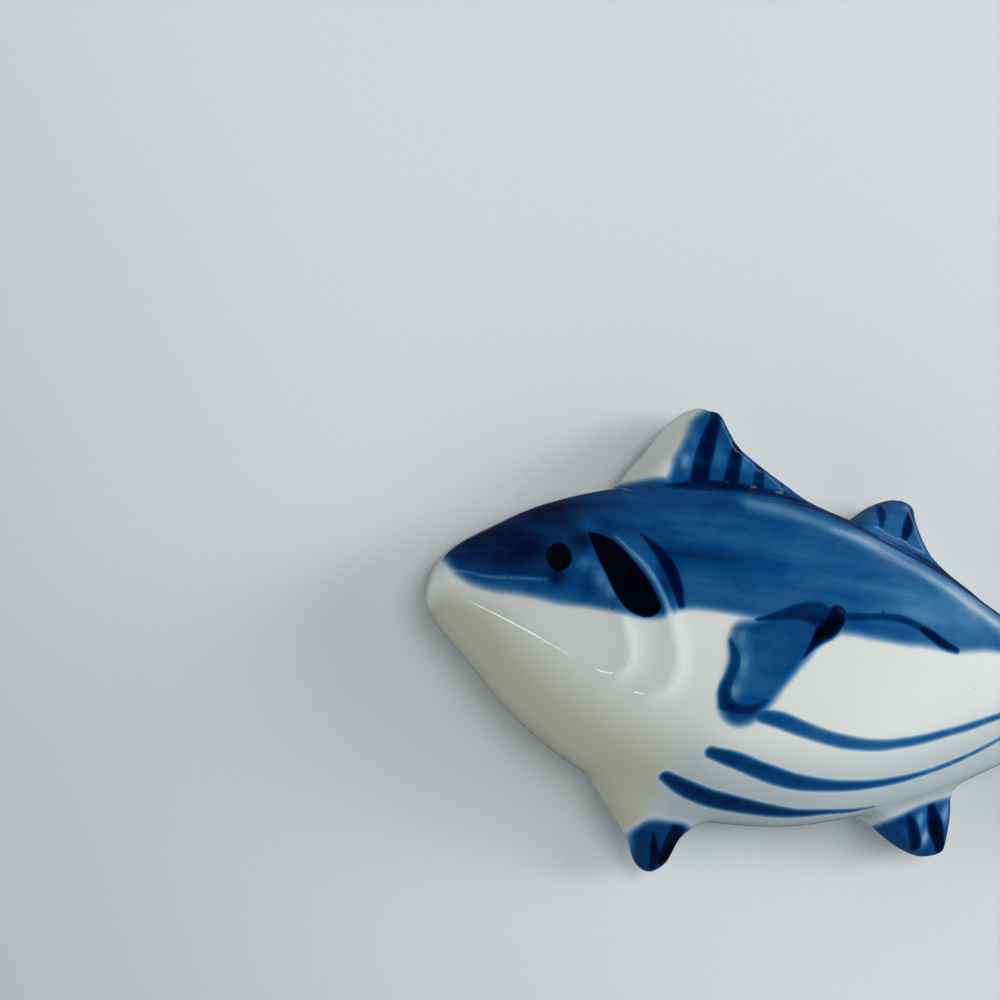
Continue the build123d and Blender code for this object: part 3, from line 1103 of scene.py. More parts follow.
        # Painted shade: the white turns darker and yellower on steep walls and the chin, and grey-blue low on
        # the belly
        warm_and_shade = add_node(tree, "ShaderNodeAttribute", attribute_name="warm_and_shade")
        yellowed_and_shaded = add_node(tree, "ShaderNodeMix", {
            "Factor": warm_and_shade.outputs["Fac"], MIX_A: linear(self.white), MIX_B: linear(self.pooled_and_shaded)},
            data_type="RGBA")
        bled_and_shade = add_node(tree, "ShaderNodeAttribute", attribute_name="bled_and_shade")
        glaze = add_node(tree, "ShaderNodeMix", {
            "Factor": bled_and_shade.outputs["Fac"], MIX_A: yellowed_and_shaded.outputs[MIX_OUT], MIX_B: linear(self.bled_and_shade)},
            data_type="RGBA")
        painted = add_node(tree, "ShaderNodeMapRange", {"Value": density, "From Max": self.painted_from})
        shade = add_node(tree, "ShaderNodeMix", {
            "Factor": painted.outputs["Result"], MIX_A: glaze.outputs[MIX_OUT], MIX_B: ramp.outputs["Color"]},
            data_type="RGBA").outputs[MIX_OUT]
        for flaw in self.flaws:
            cell = add_node(tree, "ShaderNodeTexVoronoi", {"Vector": place, "Scale": 1 / (flaw.spacing * MM)})
            near = add_node(tree, "ShaderNodeMapRange", {
                "Value": cell.outputs["Distance"], "From Min": flaw.core * flaw.size / flaw.spacing,
                "From Max": flaw.size / flaw.spacing, "To Min": flaw.strength, "To Max": 0.0},
                interpolation_type="SMOOTHSTEP")
            chance = add_node(tree, "ShaderNodeSeparateColor", {0: cell.outputs["Color"]})
            chosen = add_node(tree, "ShaderNodeMath", {0: chance.outputs["Red"], 1: flaw.share},
                              operation="LESS_THAN")
            ground = add_node(tree, "ShaderNodeMath", {0: density, 1: self.blue_from},
                              operation="GREATER_THAN" if flaw.on_blue else "LESS_THAN")
            there = add_node(tree, "ShaderNodeMath", {0: chosen.outputs["Value"], 1: ground.outputs["Value"]},
                             operation="MULTIPLY")
            share = add_node(tree, "ShaderNodeMath", {0: near.outputs["Result"], 1: there.outputs["Value"]},
                             operation="MULTIPLY")
            shade = add_node(tree, "ShaderNodeMix", {
                "Factor": share.outputs["Value"], MIX_A: shade, MIX_B: linear(flaw.colour)},
                data_type="RGBA").outputs[MIX_OUT]
        return shade

    def material(self) -> bpy.types.Material:
        """Builds the finish.

        Returns:
            The material, which reads the brushwork's values from the mesh.
        """
        made, tree = new_material(self.name)
        place = add_node(tree, "ShaderNodeTexCoord").outputs["Object"]
        colour = self.colour(tree, place, self.density(tree, place))
        peel = add_node(tree, "ShaderNodeTexNoise", {
            "Vector": place, "Scale": 1 / (self.peel_width * MM), "Detail": 2.0})
        crumpled = add_node(tree, "ShaderNodeTexNoise", {
            "Vector": place, "Scale": 1 / (self.wrinkle_width * MM), "Detail": 1.0})
        ripple = add_node(tree, "ShaderNodeAttribute", attribute_name="ripple")
        wrinkle = add_node(tree, "ShaderNodeMath", {0: crumpled.outputs["Fac"], 1: ripple.outputs["Fac"]},
                           operation="MULTIPLY")
        height = add_node(tree, "ShaderNodeMath", {
            0: wrinkle.outputs["Value"], 1: self.wrinkle_height / self.peel_height, 2: peel.outputs["Fac"]},
            operation="MULTIPLY_ADD")
        bump = add_node(tree, "ShaderNodeBump", {
            "Height": height.outputs["Value"], "Strength": 1.0, "Distance": self.peel_height * MM})
        shader = add_node(tree, "ShaderNodeBsdfPrincipled", {
            "Base Color": colour, "Roughness": self.roughness, "IOR": self.ior,
            "Specular IOR Level": self.specular, "Normal": bump.outputs["Normal"]})
        add_node(tree, "ShaderNodeOutputMaterial", {"Surface": shader.outputs["BSDF"]})
        return made


@dataclass(frozen=True)
class BiscuitFoot:
    """Bare fired porcelain where the glaze was wiped off the foot: matt, chalky and a little warm."""
    name: str = "unglazed_porcelain_foot"
    colour: str = "#cfc9b8"
    stained: str = "#b3aa94"
    roughness: float = 0.72
    grit: float = 0.35
    grit_height: float = 0.03
    grit_strength: float = 0.6
    stain_width: float = 6.0

    def material(self) -> bpy.types.Material:
        """Builds the finish of the foot."""
        made, tree = new_material(self.name)
        place = add_node(tree, "ShaderNodeTexCoord").outputs["Object"]
        grit = add_node(tree, "ShaderNodeTexNoise", {
            "Vector": place, "Scale": 1 / (self.grit * MM), "Detail": 4.0}).outputs["Fac"]
        stain = add_node(tree, "ShaderNodeTexNoise", {
            "Vector": place, "Scale": 1 / (self.stain_width * MM)}).outputs["Fac"]
        tint = add_node(tree, "ShaderNodeMix", {
            "Factor": stain, MIX_A: linear(self.colour), MIX_B: linear(self.stained)}, data_type="RGBA")
        bump = add_node(tree, "ShaderNodeBump", {
            "Height": grit, "Strength": self.grit_strength, "Distance": self.grit_height * MM})
        shader = add_node(tree, "ShaderNodeBsdfPrincipled", {
            "Base Color": tint.outputs[MIX_OUT], "Roughness": self.roughness,
            "Normal": bump.outputs["Normal"]})
        add_node(tree, "ShaderNodeOutputMaterial", {"Surface": shader.outputs["BSDF"]})
        return made


@dataclass
class Rest:
    """The finished chopstick rest: the fish's skin, cut into its pieces and dressed."""
    tuna: Tuna
    brushwork: Brushwork
    grooves: RayGrooves
    datum: Datum
    cell: float = 0.2
    margin: float = 0.6
    seam_gap: float = 0.22
    fin_reach: float = 1.0
    seam_depth: float = 0.3
    sprig_depth: float = 0.5
    foot_height: float = 0.03

    def skin(self, finish: bpy.types.Material) -> Skin:
        """Makes the whole skin, grooved and painted.

        Args:
            finish: the finish that the grooves' nodes set.
        Returns:
            The skin.
        """
        boxes = np.array([[tuple(corner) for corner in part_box(piece.value)] for piece in Piece])
        low = self.datum.measure(boxes[:, 0].min(0))
        high = self.datum.measure(boxes[:, 1].max(0))
        skin = Skin.round_field(self.tuna.distance, low - self.margin, high + self.margin, self.cell)
        self.grooves.cut_into(skin, self.datum, self.tuna.fins, self.tuna.body, finish)
        self.brushwork.paint(skin, self.tuna.body)
        return skin

    def depth_of(self, piece: Piece, points: Array) -> Array:
        """How far into a piece, from its seam with the body, points of the skin lie.

        Args:
            piece: the piece.
            points: rows of x, y and z.
        Returns:
            Values above zero inside the piece.
        """
        x, y, z = points.T
        flank = self.tuna.flank
        back, belly, *_ = self.tuna.body.outline(x)
        on_top = z - self.tuna.relief_full
        fins = {fin.piece: fin for fin in self.tuna.fins}
        if piece is Piece.PECTORAL:
            return np.minimum(flank.pectoral.depth(x, y), on_top)
        if piece in (Piece.FRONT_GILL, Piece.REAR_GILL):
            ridge = flank.front_gill if piece is Piece.FRONT_GILL else flank.rear_gill
            off_middle = line_distance(x, y, curve_through(ridge.points)[:, :2])
            return np.minimum(flank.gill_half_width - off_middle, on_top)
        if piece is Piece.TAIL:
            return x - fins[piece].root[0]
        off = np.maximum(y - back, belly - y) - self.seam_gap
        near = outline_distance(x, y, fins[piece].rim)
        others = [outline_distance(x, y, fin.rim) for fin in self.tuna.fins if fin.piece is not piece]
        apart = (np.minimum.reduce(others) - near) / 2 - self.seam_gap
        return np.minimum.reduce([off, self.fin_reach - near, apart])

    def build(self, glaze: dict[Slot, bpy.types.Material], foot: bpy.types.Material) -> None:
        """Makes, dresses and places every piece.

        Args:
            glaze: the glaze for each slot.
            foot: the bare foot's finish.
        """
        skin = self.skin(glaze[Slot.WHITE])
        log.info("skin: %d points, %d triangles", len(skin.points), len(skin.triangles))
        owners = list(Piece)
        closing: dict[Piece, list[Array]] = {piece: [] for piece in owners}
        seats = {fin.piece: fin.seat for fin in self.tuna.fins}
        for number, piece in enumerate(owners[1:], start=1):
            skin.give(self.depth_of(piece, skin.points), number)
            skin.keep_main(number)
            seat = seats.get(piece, Seat.SPRIG)
            if seat is Seat.SPRIG:
                own, lining = skin.sink(number, self.sprig_depth)
            else:
                own = skin.cap(number, (0, 2) if seat is Seat.SIDE else (1, 2), self.seam_depth)
                lining = own[:, ::-1]
            closing[piece].append(own)
            closing[Piece.BODY].append(lining)
        for number, piece in enumerate(owners):
            triangles = np.concatenate([skin.triangles[skin.owners == number], *closing[piece]])
            slot = Slot.COBALT if piece in seats or piece is Piece.PECTORAL else Slot.WHITE
            finishes = [glaze[slot], foot] if piece is Piece.BODY else [glaze[slot]]
            self.piece(piece, slot, skin, triangles, finishes)

    def piece(self, piece: Piece, slot: Slot, skin: Skin, triangles: Array,
              finishes: list[bpy.types.Material]) -> None:
        """Writes one piece's mesh and gives it to the frame.

        Args:
            piece: the piece.
            slot: its material slot in the record; not used.
            skin: the skin that it is cut from.
            triangles: its closed mesh, by the skin's points.
            finishes: its finish, and for the body that of the foot.
        """
        used, local = np.unique(triangles, return_inverse=True)
        mesh = new_mesh(piece.value, self.datum.place(skin.points[used]), local.reshape(-1, 3),
                        {name: value[used] for name, value in skin.values.items()})
        for finish in finishes:
            mesh.materials.append(finish)
        if len(finishes) > 1:
            on_foot = (skin.points[triangles][:, :, 2] < self.foot_height).all(1)
            mesh.polygons.foreach_set("material_index", on_foot.astype(np.int32))
        mesh.shade_smooth()
        mesh.normals_split_custom_set_from_vertices(skin.normals[used].tolist())
        made = put_in_scene(f"glazed_{piece.value}", mesh)
        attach(made, BODY)
        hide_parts(piece.value)
        log.info("%s: %d points, %d triangles", made.name, len(used), len(triangles))


@dataclass(frozen=True)
class Lamp:
    """A soft lamp that faces the rest: where it hangs, its two sides, its watts and how its first side runs.

    A mirrored lamp is there for the glaze to mirror, and the others are there to light the scene.
    """
    name: str
    place: tuple[float, float, float]
    size: tuple[float, float]
    power: float
    along: tuple[float, float, float]
    mirrored: bool = False

    def hang(self) -> None:
        """Hangs the lamp, with its place in the row frame."""
        data = bpy.data.lights.new(self.name, "AREA")
        data.shape = "RECTANGLE"
        data.size, data.size_y, data.energy = self.size[0] * MM, self.size[1] * MM, self.power
        made = put_in_scene(self.name, data)
        made.visible_glossy, made.visible_diffuse = self.mirrored, not self.mirrored
        place, along = Vector(self.place), Vector(self.along)
        away = place.normalized()
        side = (along - away * away.dot(along)).normalized()
        turned = Matrix((side, away.cross(side), away)).transposed()
        made.matrix_world = Matrix.Translation(place * MM) @ turned.to_4x4()


@dataclass
class Studio:
    """Where the rest is seen: a pale table with a painted shadow to the lower left, soft light from the upper
    right and the camera.
    """
    datum: Datum
    camera_place: tuple[float, float, float] = (-14.66, -8.54, 126.08)
    roll: float = 9.5
    tilt_right: float = 10.0
    tilt_up: float = 6.0
    lens: float = 57.6
    sensor: float = 36.0
    clip_start: float = 5.0
    table_size: float = 3000.0
    table_drop: float = 0.02
    table_colour: str = "#d8dddf"
    table_grain: str = "#d2d7da"
    table_shadow: str = "#a8acae"
    shadow_fade: tuple[float, float] = (5.0, 110.0)
    shadow_side: tuple[float, float, float] = (-0.756, -0.633, 0.0)
    grain_width: float = 0.5
    table_roughness: float = 0.6
    table_specular: float = 0.2
    mirrored_share: float = 0.06
    room_colour: str = "#f2f5f7"
    room_heights: tuple[float, float] = (0.3, 0.75)
    room_levels: tuple[float, float] = (0.74, 0.1)
    room_side: tuple[float, float, float] = (0.6, 0.8, 0.0)
    room_sides: tuple[float, float] = (2.3, 0.66)
    lamps: tuple[Lamp, ...] = (
        Lamp("window", (360, 330, 1170), (720, 720), 6.3, (1, 0, 0)),
        Lamp("side_window", (990, 300, 450), (420, 420), 8.8, (0, 1, 0)),
        Lamp("jaw_glint", (-359, -237, 259), (205, 26), 0.5, (0.35, -0.09, 0.31), True),
        Lamp("ridge_sheen", (326, 374, 62), (300, 110), 0.24, (-0.77, 0.64, 0.0), True),
    )

    def camera(self) -> None:
        """Sets up the camera at the photograph's viewing angle."""
        turn = math.radians(self.roll)
        along = np.array([math.cos(turn), math.sin(turn), 0])
        across = np.array([-math.sin(turn), math.cos(turn), 0])
        ahead = (np.array([0, 0, -1.0]) + math.tan(math.radians(self.tilt_right)) * along
                 + math.tan(math.radians(self.tilt_up)) * across)
        ahead /= np.linalg.norm(ahead)
        right = along - ahead * (along @ ahead)
        right /= np.linalg.norm(right)
        up = np.cross(right, ahead)
        data = bpy.data.cameras.new("camera")
        data.lens, data.sensor_width = self.lens, self.sensor
        data.clip_start = self.clip_start * MM
        made = put_in_scene("camera", data)
        turned = Matrix(np.stack([right, up, -ahead], axis=1).tolist())
        place = self.datum.place(np.array(self.camera_place))
        made.matrix_world = Matrix.Translation(place) @ turned.to_4x4()
        bpy.context.scene.camera = made

    def mirrored(self, tree: bpy.types.NodeTree) -> bpy.types.NodeSocket:
        """Gives 1, or mirrored_share where the glaze mirrors the table or the room, in a tree of theirs."""
        ray = add_node(tree, "ShaderNodeLightPath").outputs["Is Glossy Ray"]
        return add_node(tree, "ShaderNodeMapRange", {
            "Value": ray, "To Min": 1.0, "To Max": self.mirrored_share}).outputs["Result"]

    def table(self) -> None:
        """Lays the table: matt, cool and pale, with a fine grain, and with a painted shadow that greys it to
        the lower left.
        """
        half = self.table_size / 2 * MM
        corners = np.array([(-half, -half, 0), (half, -half, 0), (half, half, 0), (-half, half, 0)])
        mesh = new_mesh("table", corners, np.array([(0, 1, 2, 3)]), {})
        material, tree = new_material("matt_laminate_table")
        place = add_node(tree, "ShaderNodeTexCoord").outputs["Object"]
        grain = add_node(tree, "ShaderNodeTexNoise", {
            "Vector": place, "Scale": 1 / (self.grain_width * MM), "Detail": 4.0})
        tint = add_node(tree, "ShaderNodeMix", {
            "Factor": grain.outputs["Fac"], MIX_A: linear(self.table_colour),
            MIX_B: linear(self.table_grain)}, data_type="RGBA")
        # Painted shadow: the table's colour turns grey towards the lower left
        leftward = add_node(tree, "ShaderNodeVectorMath", {0: place, 1: self.shadow_side},
                            operation="DOT_PRODUCT")
        shadow_share = add_node(tree, "ShaderNodeMapRange", {
            "Value": leftward.outputs["Value"], "From Min": self.shadow_fade[0] * MM,
            "From Max": self.shadow_fade[1] * MM}, interpolation_type="SMOOTHSTEP")
        shadowed = add_node(tree, "ShaderNodeMix", {
            "Factor": shadow_share.outputs["Result"], MIX_A: tint.outputs[MIX_OUT], MIX_B: linear(self.table_shadow)},
            data_type="RGBA")
        # Painted dimming of reflections: where the glaze mirrors the table, the table shows only
        # mirrored_share of its colour
        dimmed = add_node(tree, "ShaderNodeMix", {
            "Factor": self.mirrored(tree), MIX_A: linear("#000000"), MIX_B: shadowed.outputs[MIX_OUT]},
            data_type="RGBA")
        shader = add_node(tree, "ShaderNodeBsdfPrincipled", {
            "Base Color": dimmed.outputs[MIX_OUT], "Roughness": self.table_roughness,
            "Specular IOR Level": self.table_specular})
        add_node(tree, "ShaderNodeOutputMaterial", {"Surface": shader.outputs["BSDF"]})
        mesh.materials.append(material)
        made = put_in_scene("table", mesh)
        made.location = (0, 0, -self.table_drop * MM)

    def light(self) -> None:
        """Lights the table by lamps and by a room that is bright low down and to the lower left."""
        for lamp in self.lamps:
            lamp.hang()
        world = bpy.data.worlds.new("room")
        world.use_nodes = True
        tree = world.node_tree
        tree.nodes.clear()
        towards = add_node(tree, "ShaderNodeTexCoord").outputs["Generated"]
        height = add_node(tree, "ShaderNodeSeparateXYZ", {0: towards}).outputs["Z"]
        aside = add_node(tree, "ShaderNodeVectorMath", {0: towards, 1: self.room_side},
                         operation="DOT_PRODUCT")
        level = add_node(tree, "ShaderNodeMapRange", {
            "Value": height, "From Min": self.room_heights[0], "From Max": self.room_heights[1],
            "To Min": self.room_levels[0], "To Max": self.room_levels[1]}, interpolation_type="SMOOTHSTEP")
        side = add_node(tree, "ShaderNodeMapRange", {
            "Value": aside.outputs["Value"], "From Min": -1.0, "From Max": 1.0,
            "To Min": self.room_sides[0], "To Max": self.room_sides[1]})
        strength = add_node(tree, "ShaderNodeMath", {0: level.outputs["Result"], 1: side.outputs["Result"]},
                            operation="MULTIPLY")
        dimmed = add_node(tree, "ShaderNodeMath", {0: strength.outputs["Value"], 1: self.mirrored(tree)},
                          operation="MULTIPLY")
        room = add_node(tree, "ShaderNodeBackground", {
            "Color": linear(self.room_colour), "Strength": dimmed.outputs["Value"]})
        add_node(tree, "ShaderNodeOutputWorld", {"Surface": room.outputs["Background"]})
        bpy.context.scene.world = world
        bpy.context.scene.view_settings.view_transform = "Standard"


def fins() -> tuple[Fin, ...]:
    """The five upright fins, with the tail last."""
    return (
        Fin(Piece.FIRST_DORSAL,
            ((14.2, 10.6), (15.8, 13.8), (17.6, 16.6), (19.1, 17.95), (20.1, 18.28), (21.0, 17.8),
             (21.8, 16.5), (22.6, 15.3), (23.9, 14.4), (26.7, 12.8), (29.8, 11.1), (32.5, 10.0),
             (30.0, 8.6), (22.0, 8.6), (15.0, 8.4)),
            root=(19.0, 10.5), tip=(20.0, 18.1), under=(1.5, 1.5), top=(6.6, 3.9), inset=0.8, lean=(1.0, 0.3),
            rays=(Stroke(((21.0, 17.6, 1.2), (20.3, 15.4, 1.6), (19.8, 13.4, 1.8), (19.5, 11.4, 1.9)), 0.88),
                  Stroke(((22.7, 15.2, 1.2), (22.4, 13.4, 1.45), (22.1, 11.6, 1.6)), 0.87),
                  Stroke(((24.6, 13.7, 1.0), (24.5, 12.7, 1.25), (24.4, 11.6, 1.35)), 0.86),
                  Stroke(((26.6, 12.7, 0.6), (26.6, 12.1, 0.75), (26.6, 11.5, 0.75)), 0.82))),
        Fin(Piece.SECOND_DORSAL,
            ((33.2, 10.3), (34.6, 12.0), (36.2, 13.05), (37.6, 13.45), (38.5, 13.0), (38.8, 11.6),
             (39.7, 9.3), (41.4, 7.4), (43.2, 6.0), (42.6, 4.9), (38.0, 7.0), (33.6, 8.4)),
            root=(37.0, 8.8), tip=(37.6, 13.4), under=(1.5, 1.5), top=(5.6, 3.6), inset=0.35,
            lean=(0.35, 0.1),
            rays=(Stroke(((35.7, 12.5, 0.5), (35.55, 11.6, 1.0), (35.4, 10.6, 0.6)), 0.82),
                  Stroke(((38.2, 12.4, 0.7), (37.9, 11.3, 1.2), (37.4, 10.0, 0.9)), 0.86))),
        Fin(Piece.PELVIC,
            ((16.2, -12.7), (18.4, -16.9), (19.8, -19.05), (20.6, -19.32), (21.7, -18.6), (22.5, -16.4),
             (23.0, -14.6), (22.0, -12.0), (18.0, -11.2)),
            root=(20.0, -14.0), tip=(20.6, -19.1), under=(1.5, 1.5), top=(5.4, 3.4), inset=0.5,
            lean=(0.4, -0.15),
            rays=(Stroke(((20.0, -15.9, 0.6), (20.4, -17.2, 0.95), (20.7, -18.6, 0.9)), 0.95),
                  Stroke(((21.8, -15.3, 1.5), (21.7, -16.6, 1.8), (21.4, -18.0, 1.5)), 0.97)),
            blend=2.2, edge_round=1.6),
        Fin(Piece.ANAL,
            ((37.6, -12.3), (39.5, -13.9), (41.3, -14.8), (43.4, -15.15), (44.7, -14.6), (44.9, -12.6),
             (44.2, -9.6), (42.0, -8.0), (38.0, -9.8)),
            root=(40.5, -11.2), tip=(43.8, -14.9), under=(1.5, 1.5), top=(5.2, 3.4), inset=0.5,
            lean=(0.2, -0.1),
            rays=(Stroke(((42.2, -10.9, 1.0), (43.1, -12.5, 1.65), (44.0, -14.0, 1.35)), 0.96),
                  Stroke(((40.4, -12.0, 1.0), (41.2, -13.2, 1.35), (41.8, -14.3, 1.1)), 0.88)),
            blend=1.5),
        Fin(Piece.TAIL,
            ((54.0, 1.9), (57.5, 2.6), (60.5, 5.6), (63.0, 9.0), (64.05, 9.6), (64.4, 8.8), (62.8, 4.5),
             (61.0, -0.3), (62.8, -5.0), (64.4, -9.3), (64.05, -10.15), (62.9, -9.5), (60.3, -6.0),
             (57.5, -3.3), (54.0, -2.7)),
            root=(56.5, -0.3), tip=(64.5, -0.3), under=(1.5, 4.4), top=(4.9, 7.0), inset=0.4, lean=(0.0, 0.0),
            rays=(Stroke(((59.0, 2.2, 0.5), (60.8, 4.4, 0.7), (62.9, 7.8, 0.4)), 0.86),
                  Stroke(((59.6, 0.9, 0.4), (60.9, 2.3, 0.6), (62.3, 4.7, 0.4)), 0.84),
                  Stroke(((59.0, -2.8, 0.5), (60.8, -5.0, 0.7), (62.9, -8.4, 0.4)), 0.86),
                  Stroke(((59.6, -1.5, 0.4), (60.9, -2.9, 0.6), (62.3, -5.3, 0.4)), 0.84)),
            seat=Seat.STEM, blend=2.0),
    )


def brushwork(flank: Flank, all_fins: tuple[Fin, ...]) -> Brushwork:
    """The painting of the fish.

    Args:
        flank: the relief, whose slits and eye are inked and whose ridges and mouth stay pale.
        all_fins: the fins, whose rays are brushed.
    Returns:
        The washes, strokes, inks, pale lines and pools.
    """
    washes = (
        Wash(((0.9, 2.4), (1.5, 1.5), (2.4, 0.8), (3.6, 0.4), (6.0, 0.3), (9.3, 0.0), (12.8, 0.0),
              (14.3, -0.2), (16.3, 0.1), (17.8, 0.9), (20.5, 1.1), (25.0, 1.0), (30.1, 1.0), (36.0, 1.0),
              (40.5, 1.2), (44.8, 1.8), (50.0, 1.7), (60.0, 0.4), (61.5, 8.0), (50.0, 16.0), (25.0, 19.0),
              (8.0, 14.0), (0.8, 5.0)), 0.58, False),
        Wash(((20.8, 18.0), (19.6, 17.3), (18.9, 16.5), (18.5, 15.4), (18.0, 14.2), (17.5, 13.2),
              (17.2, 12.0), (16.6, 10.6), (20.0, 9.0), (30.0, 9.0), (33.5, 9.8), (33.0, 12.5), (27.0, 15.0),
              (23.0, 17.5)), 0.63),
        Wash(((32.6, 10.0), (34.2, 12.4), (36.2, 14.2), (38.0, 14.4), (39.6, 12.6), (41.0, 10.4), (44.0, 8.2),
              (48.0, 6.2), (44.0, 5.0), (38.0, 7.4), (33.4, 9.0)), 0.5),
        Wash(((19.0, -15.3), (20.9, -14.9), (22.0, -14.9), (22.9, -15.3), (23.2, -17.0), (22.4, -18.8),
              (20.8, -19.8), (19.4, -19.4), (18.8, -17.4), (18.5, -16.2)), 0.73),
        Wash(((38.3, -13.0), (39.3, -12.1), (40.6, -11.2), (42.2, -10.5), (44.6, -10.0), (45.6, -12.6),
              (45.2, -15.4), (42.8, -16.0), (40.4, -15.2), (38.6, -14.0)), 0.68),
        Wash(((57.6, 2.6), (58.4, -0.4), (57.6, -3.4), (61.0, -8.6), (64.6, -11.0), (66.0, -6.0),
              (65.0, -0.3), (66.0, 6.0), (64.6, 10.8), (61.0, 7.8)), 0.56),
        Wash(flank.pectoral.outline, 0.62),
    )
    rays = tuple(ray for fin in all_fins for ray in fin.rays)
    strokes = (
        # Three stripes along the belly
        Stroke(((24.6, -6.0, 1.0), (26.2, -6.15, 1.2), (28.0, -6.5, 1.15), (30.4, -6.9, 1.05),
                (33.9, -6.95, 0.9), (37.5, -6.2, 0.7), (41.0, -5.0, 0.6), (45.6, -3.1, 0.5),
                (50.0, -1.4, 0.35), (53.0, -0.5, 0.2)), 0.6),
        Stroke(((21.6, -9.2, 0.9), (23.2, -9.45, 1.2), (26.1, -10.1, 1.3), (28.6, -10.45, 1.2),
                (32.0, -10.3, 0.85), (35.5, -9.7, 0.65), (39.9, -8.2, 0.42), (43.4, -6.4, 0.3),
                (46.2, -4.7, 0.25), (49.0, -3.2, 0.15)), 0.7),
        Stroke(((19.1, -11.45, 0.8), (20.7, -12.1, 1.2), (22.8, -12.6, 1.3), (25.3, -12.8, 1.2),
                (27.4, -12.9, 1.0), (29.7, -12.8, 0.7), (32.1, -12.4, 0.45), (34.6, -12.0, 0.25),
                (36.4, -11.5, 0.12)), 0.8),
        # Edges of the pectoral fin
        Stroke(((21.6, -0.9, 0.4), (22.1, -2.2, 0.9), (21.9, -3.5, 0.95), (21.6, -4.6, 1.0),
                (21.9, -5.6, 1.2)), 0.75),
        Stroke(((21.9, -5.6, 1.2), (22.8, -5.8, 1.15), (23.9, -5.6, 1.0), (24.9, -4.8, 0.6)), 0.79),
        Stroke(((23.4, 0.9, 0.4), (25.2, 1.5, 1.1), (26.8, 2.0, 1.7), (28.2, 2.0, 2.3)), 0.83),
        Stroke(((29.7, 2.2, 1.9), (29.1, 1.4, 2.0), (28.4, 0.5, 1.4), (27.8, -0.4, 0.8), (27.2, -1.4, 0.3)),
               0.97),
        # The mark behind the pectoral fin, with its tick
        Stroke(((30.2, 2.2, 1.0), (32.2, 2.5, 0.9), (34.0, 2.8, 0.85), (35.6, 2.8, 0.9), (36.9, 2.5, 0.9)),
               0.8),
        Stroke(((36.2, 2.7, 0.3), (37.2, 2.4, 0.8), (38.2, 2.0, 1.05), (39.2, 1.6, 1.0), (40.6, 1.3, 0.6)),
               0.93),
        Stroke(((33.4, 4.0, 0.2), (33.6, 3.3, 0.45), (33.7, 2.8, 0.6)), 0.77),
        # A dark band along the edge of the rear back: partly denser wash, and partly painted shade where the
        # back wall turns away
        Stroke(((27.0, 11.0, 0.6), (30.0, 10.5, 1.1), (34.0, 9.3, 1.3), (38.5, 8.1, 1.4), (43.0, 6.3, 1.3),
                (48.0, 4.2, 1.2), (53.0, 2.4, 0.9), (58.0, 2.2, 0.4)), 0.8),
        # Dark foot of the first dorsal fin, partly a denser stroke and partly painted shade in the crease
        # where the fin meets the back; a tick at the gill and the leaf behind the eye
        Stroke(((16.8, 10.6, 0.6), (19.0, 11.0, 1.2), (22.0, 11.4, 1.25), (25.0, 11.5, 1.1),
                (28.5, 11.2, 0.5)), 0.85),
        Stroke(((13.0, 1.2, 0.3), (12.8, 0.7, 0.35), (12.7, 0.1, 0.2)), 0.85),
        Stroke(((14.3, 6.2, 0.3), (15.4, 5.3, 1.0), (16.4, 4.0, 1.3), (17.1, 2.6, 1.25), (17.6, 1.2, 0.8)),
               0.92),
    )
    inks = (flank.front_slit.outline, flank.eye.outline)
    bare = (
        flank_line(flank.mouth, width=0.16),
        ((12.6, 5.6, 0.1), (13.6, 4.7, 0.2), (14.5, 3.9, 0.3), (15.5, 2.7, 0.35), (16.3, 1.4, 0.4),
         (16.8, 0.3, 0.5)),
    )
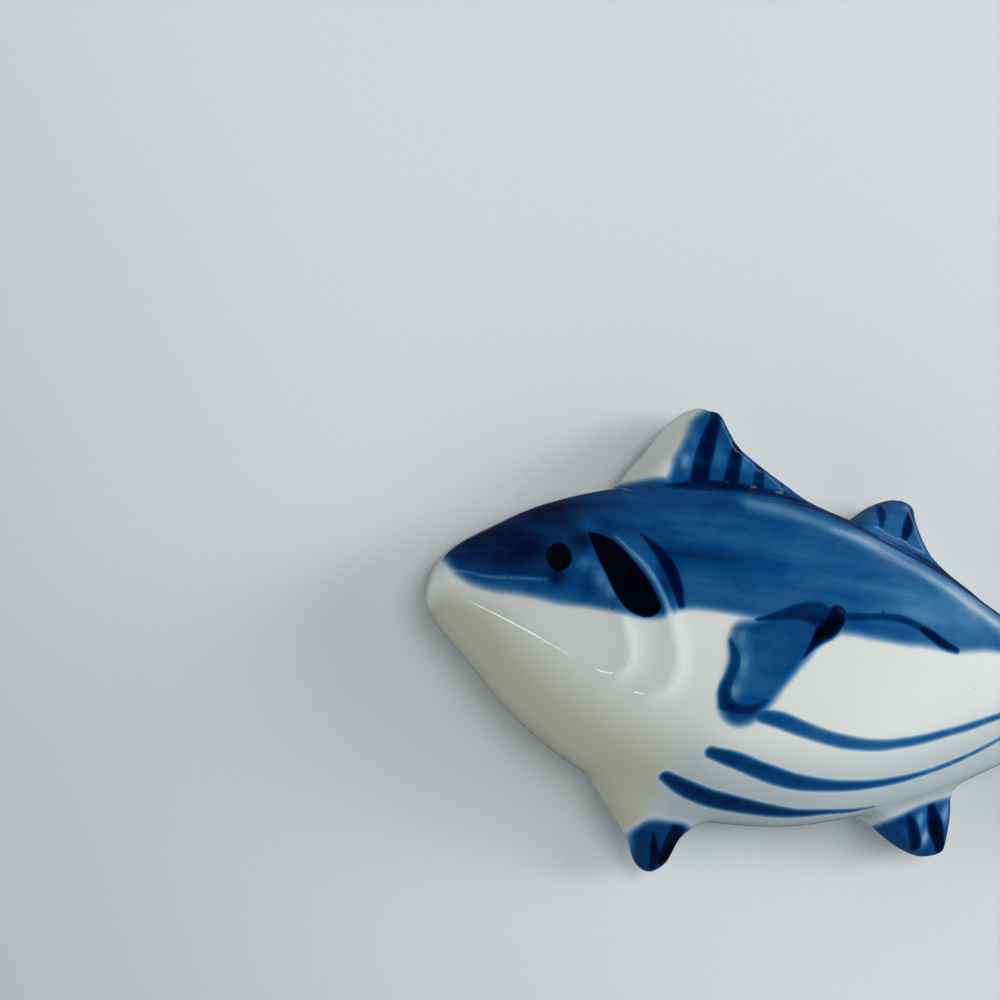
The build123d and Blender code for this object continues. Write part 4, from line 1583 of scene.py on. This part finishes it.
    # Denser and paler places in the wash. The denser pools along the back's edge at (9.0, 7.4) and (42.0,
    # 7.2) are partly painted shade where the back turns away, and the broad paler pools on the rear flank at
    # (43.0, 4.0) and (40.0, 4.0) are partly a painted sheen
    pools = (
        Pool((4.5, 4.0), (4.5, 2.4), 0.34), Pool((9.0, 7.4), (5.5, 1.8), 0.26),
        Pool((10.2, 5.0), (0.8, 0.7), 0.2), Pool((4.8, 0.7), (3.2, 0.45), -0.06),
        Pool((10.4, 3.3), (0.55, 0.6), -0.22), Pool((10.7, 6.4), (0.9, 0.7), -0.2),
        Pool((8.7, 1.9), (0.7, 0.7), 0.2), Pool((10.9, 1.5), (0.5, 0.9), 0.14),
        Pool((43.0, 4.0), (6.0, 2.4), -0.08), Pool((11.6, 2.3), (0.5, 0.7), -0.24),
        Pool((12.4, 1.4), (0.4, 0.6), -0.22), Pool((42.0, 7.2), (4.0, 0.9), 0.16),
        Pool((13.5, 7.2), (2.6, 0.7), -0.12), Pool((18.6, 5.0), (3.0, 0.8), 0.17),
        Pool((16.3, 2.6), (0.7, 2.2), 0.2), Pool((33.0, 4.9), (6.0, 0.5), -0.1),
        Pool((36.0, 3.6), (2.5, 0.4), -0.1), Pool((40.0, 4.0), (6.0, 3.0), -0.08),
        Pool((18.3, 12.9), (0.45, 0.8), -0.3), Pool((18.9, 15.3), (0.5, 1.6), -0.12),
        Pool((21.1, 14.0), (0.5, 0.9), -0.16), Pool((23.1, 13.6), (0.5, 0.6), -0.18),
        Pool((22.2, -0.6), (0.6, 0.9), -0.26), Pool((22.7, -2.6), (0.5, 1.2), -0.22),
        Pool((22.3, -4.6), (0.5, 0.6), -0.28), Pool((41.5, -12.2), (0.4, 0.8), -0.42),
        Pool((42.3, -13.5), (0.4, 0.9), -0.47), Pool((43.7, -11.3), (0.45, 1.0), -0.38),
        Pool((39.4, -12.3), (1.2, 0.5), 0.14),
    )
    # A paler line along the ridge of the back: partly where the wash drew back, and partly a painted sheen
    worn_and_sheen = (Rise(((23.0, 10.0), (25.4, 9.8), (29.6, 9.1), (36.4, 7.4), (45.0, 3.9), (52.0, 1.6)),
                 0.6, -0.25),)
    folds = (Pool((16.8, -5.4), (1.0, 0.55), 1.0), Pool((13.8, -4.3), (0.6, 0.5), 1.0))
    return Brushwork(washes, rays, strokes, inks, bare, pools, worn_and_sheen, folds)


def flank_line(rise: Rise, width: float) -> Points:
    """The points of a line in the flank, with one width all along."""
    return tuple((x, y, width) for x, y in rise.points)


def main() -> None:
    """Builds the studio and the rest, piece by piece."""
    logging.basicConfig(level=logging.INFO, format="%(message)s")
    body, flank, all_fins = CastBody(), Flank(), fins()
    datum = Datum.from_solid(body.back_reach)
    studio = Studio(datum)
    studio.camera()
    studio.table()
    studio.light()
    glaze = {Slot.WHITE: PaintedGlaze("glazed_white_porcelain_brush_painted").material(),
             Slot.COBALT: PaintedGlaze("glazed_porcelain_cobalt_fins").material()}
    rest = Rest(Tuna(body, flank, all_fins), brushwork(flank, all_fins), RayGrooves(), datum)
    rest.build(glaze, BiscuitFoot().material())


if __name__ == "__main__":
    main()
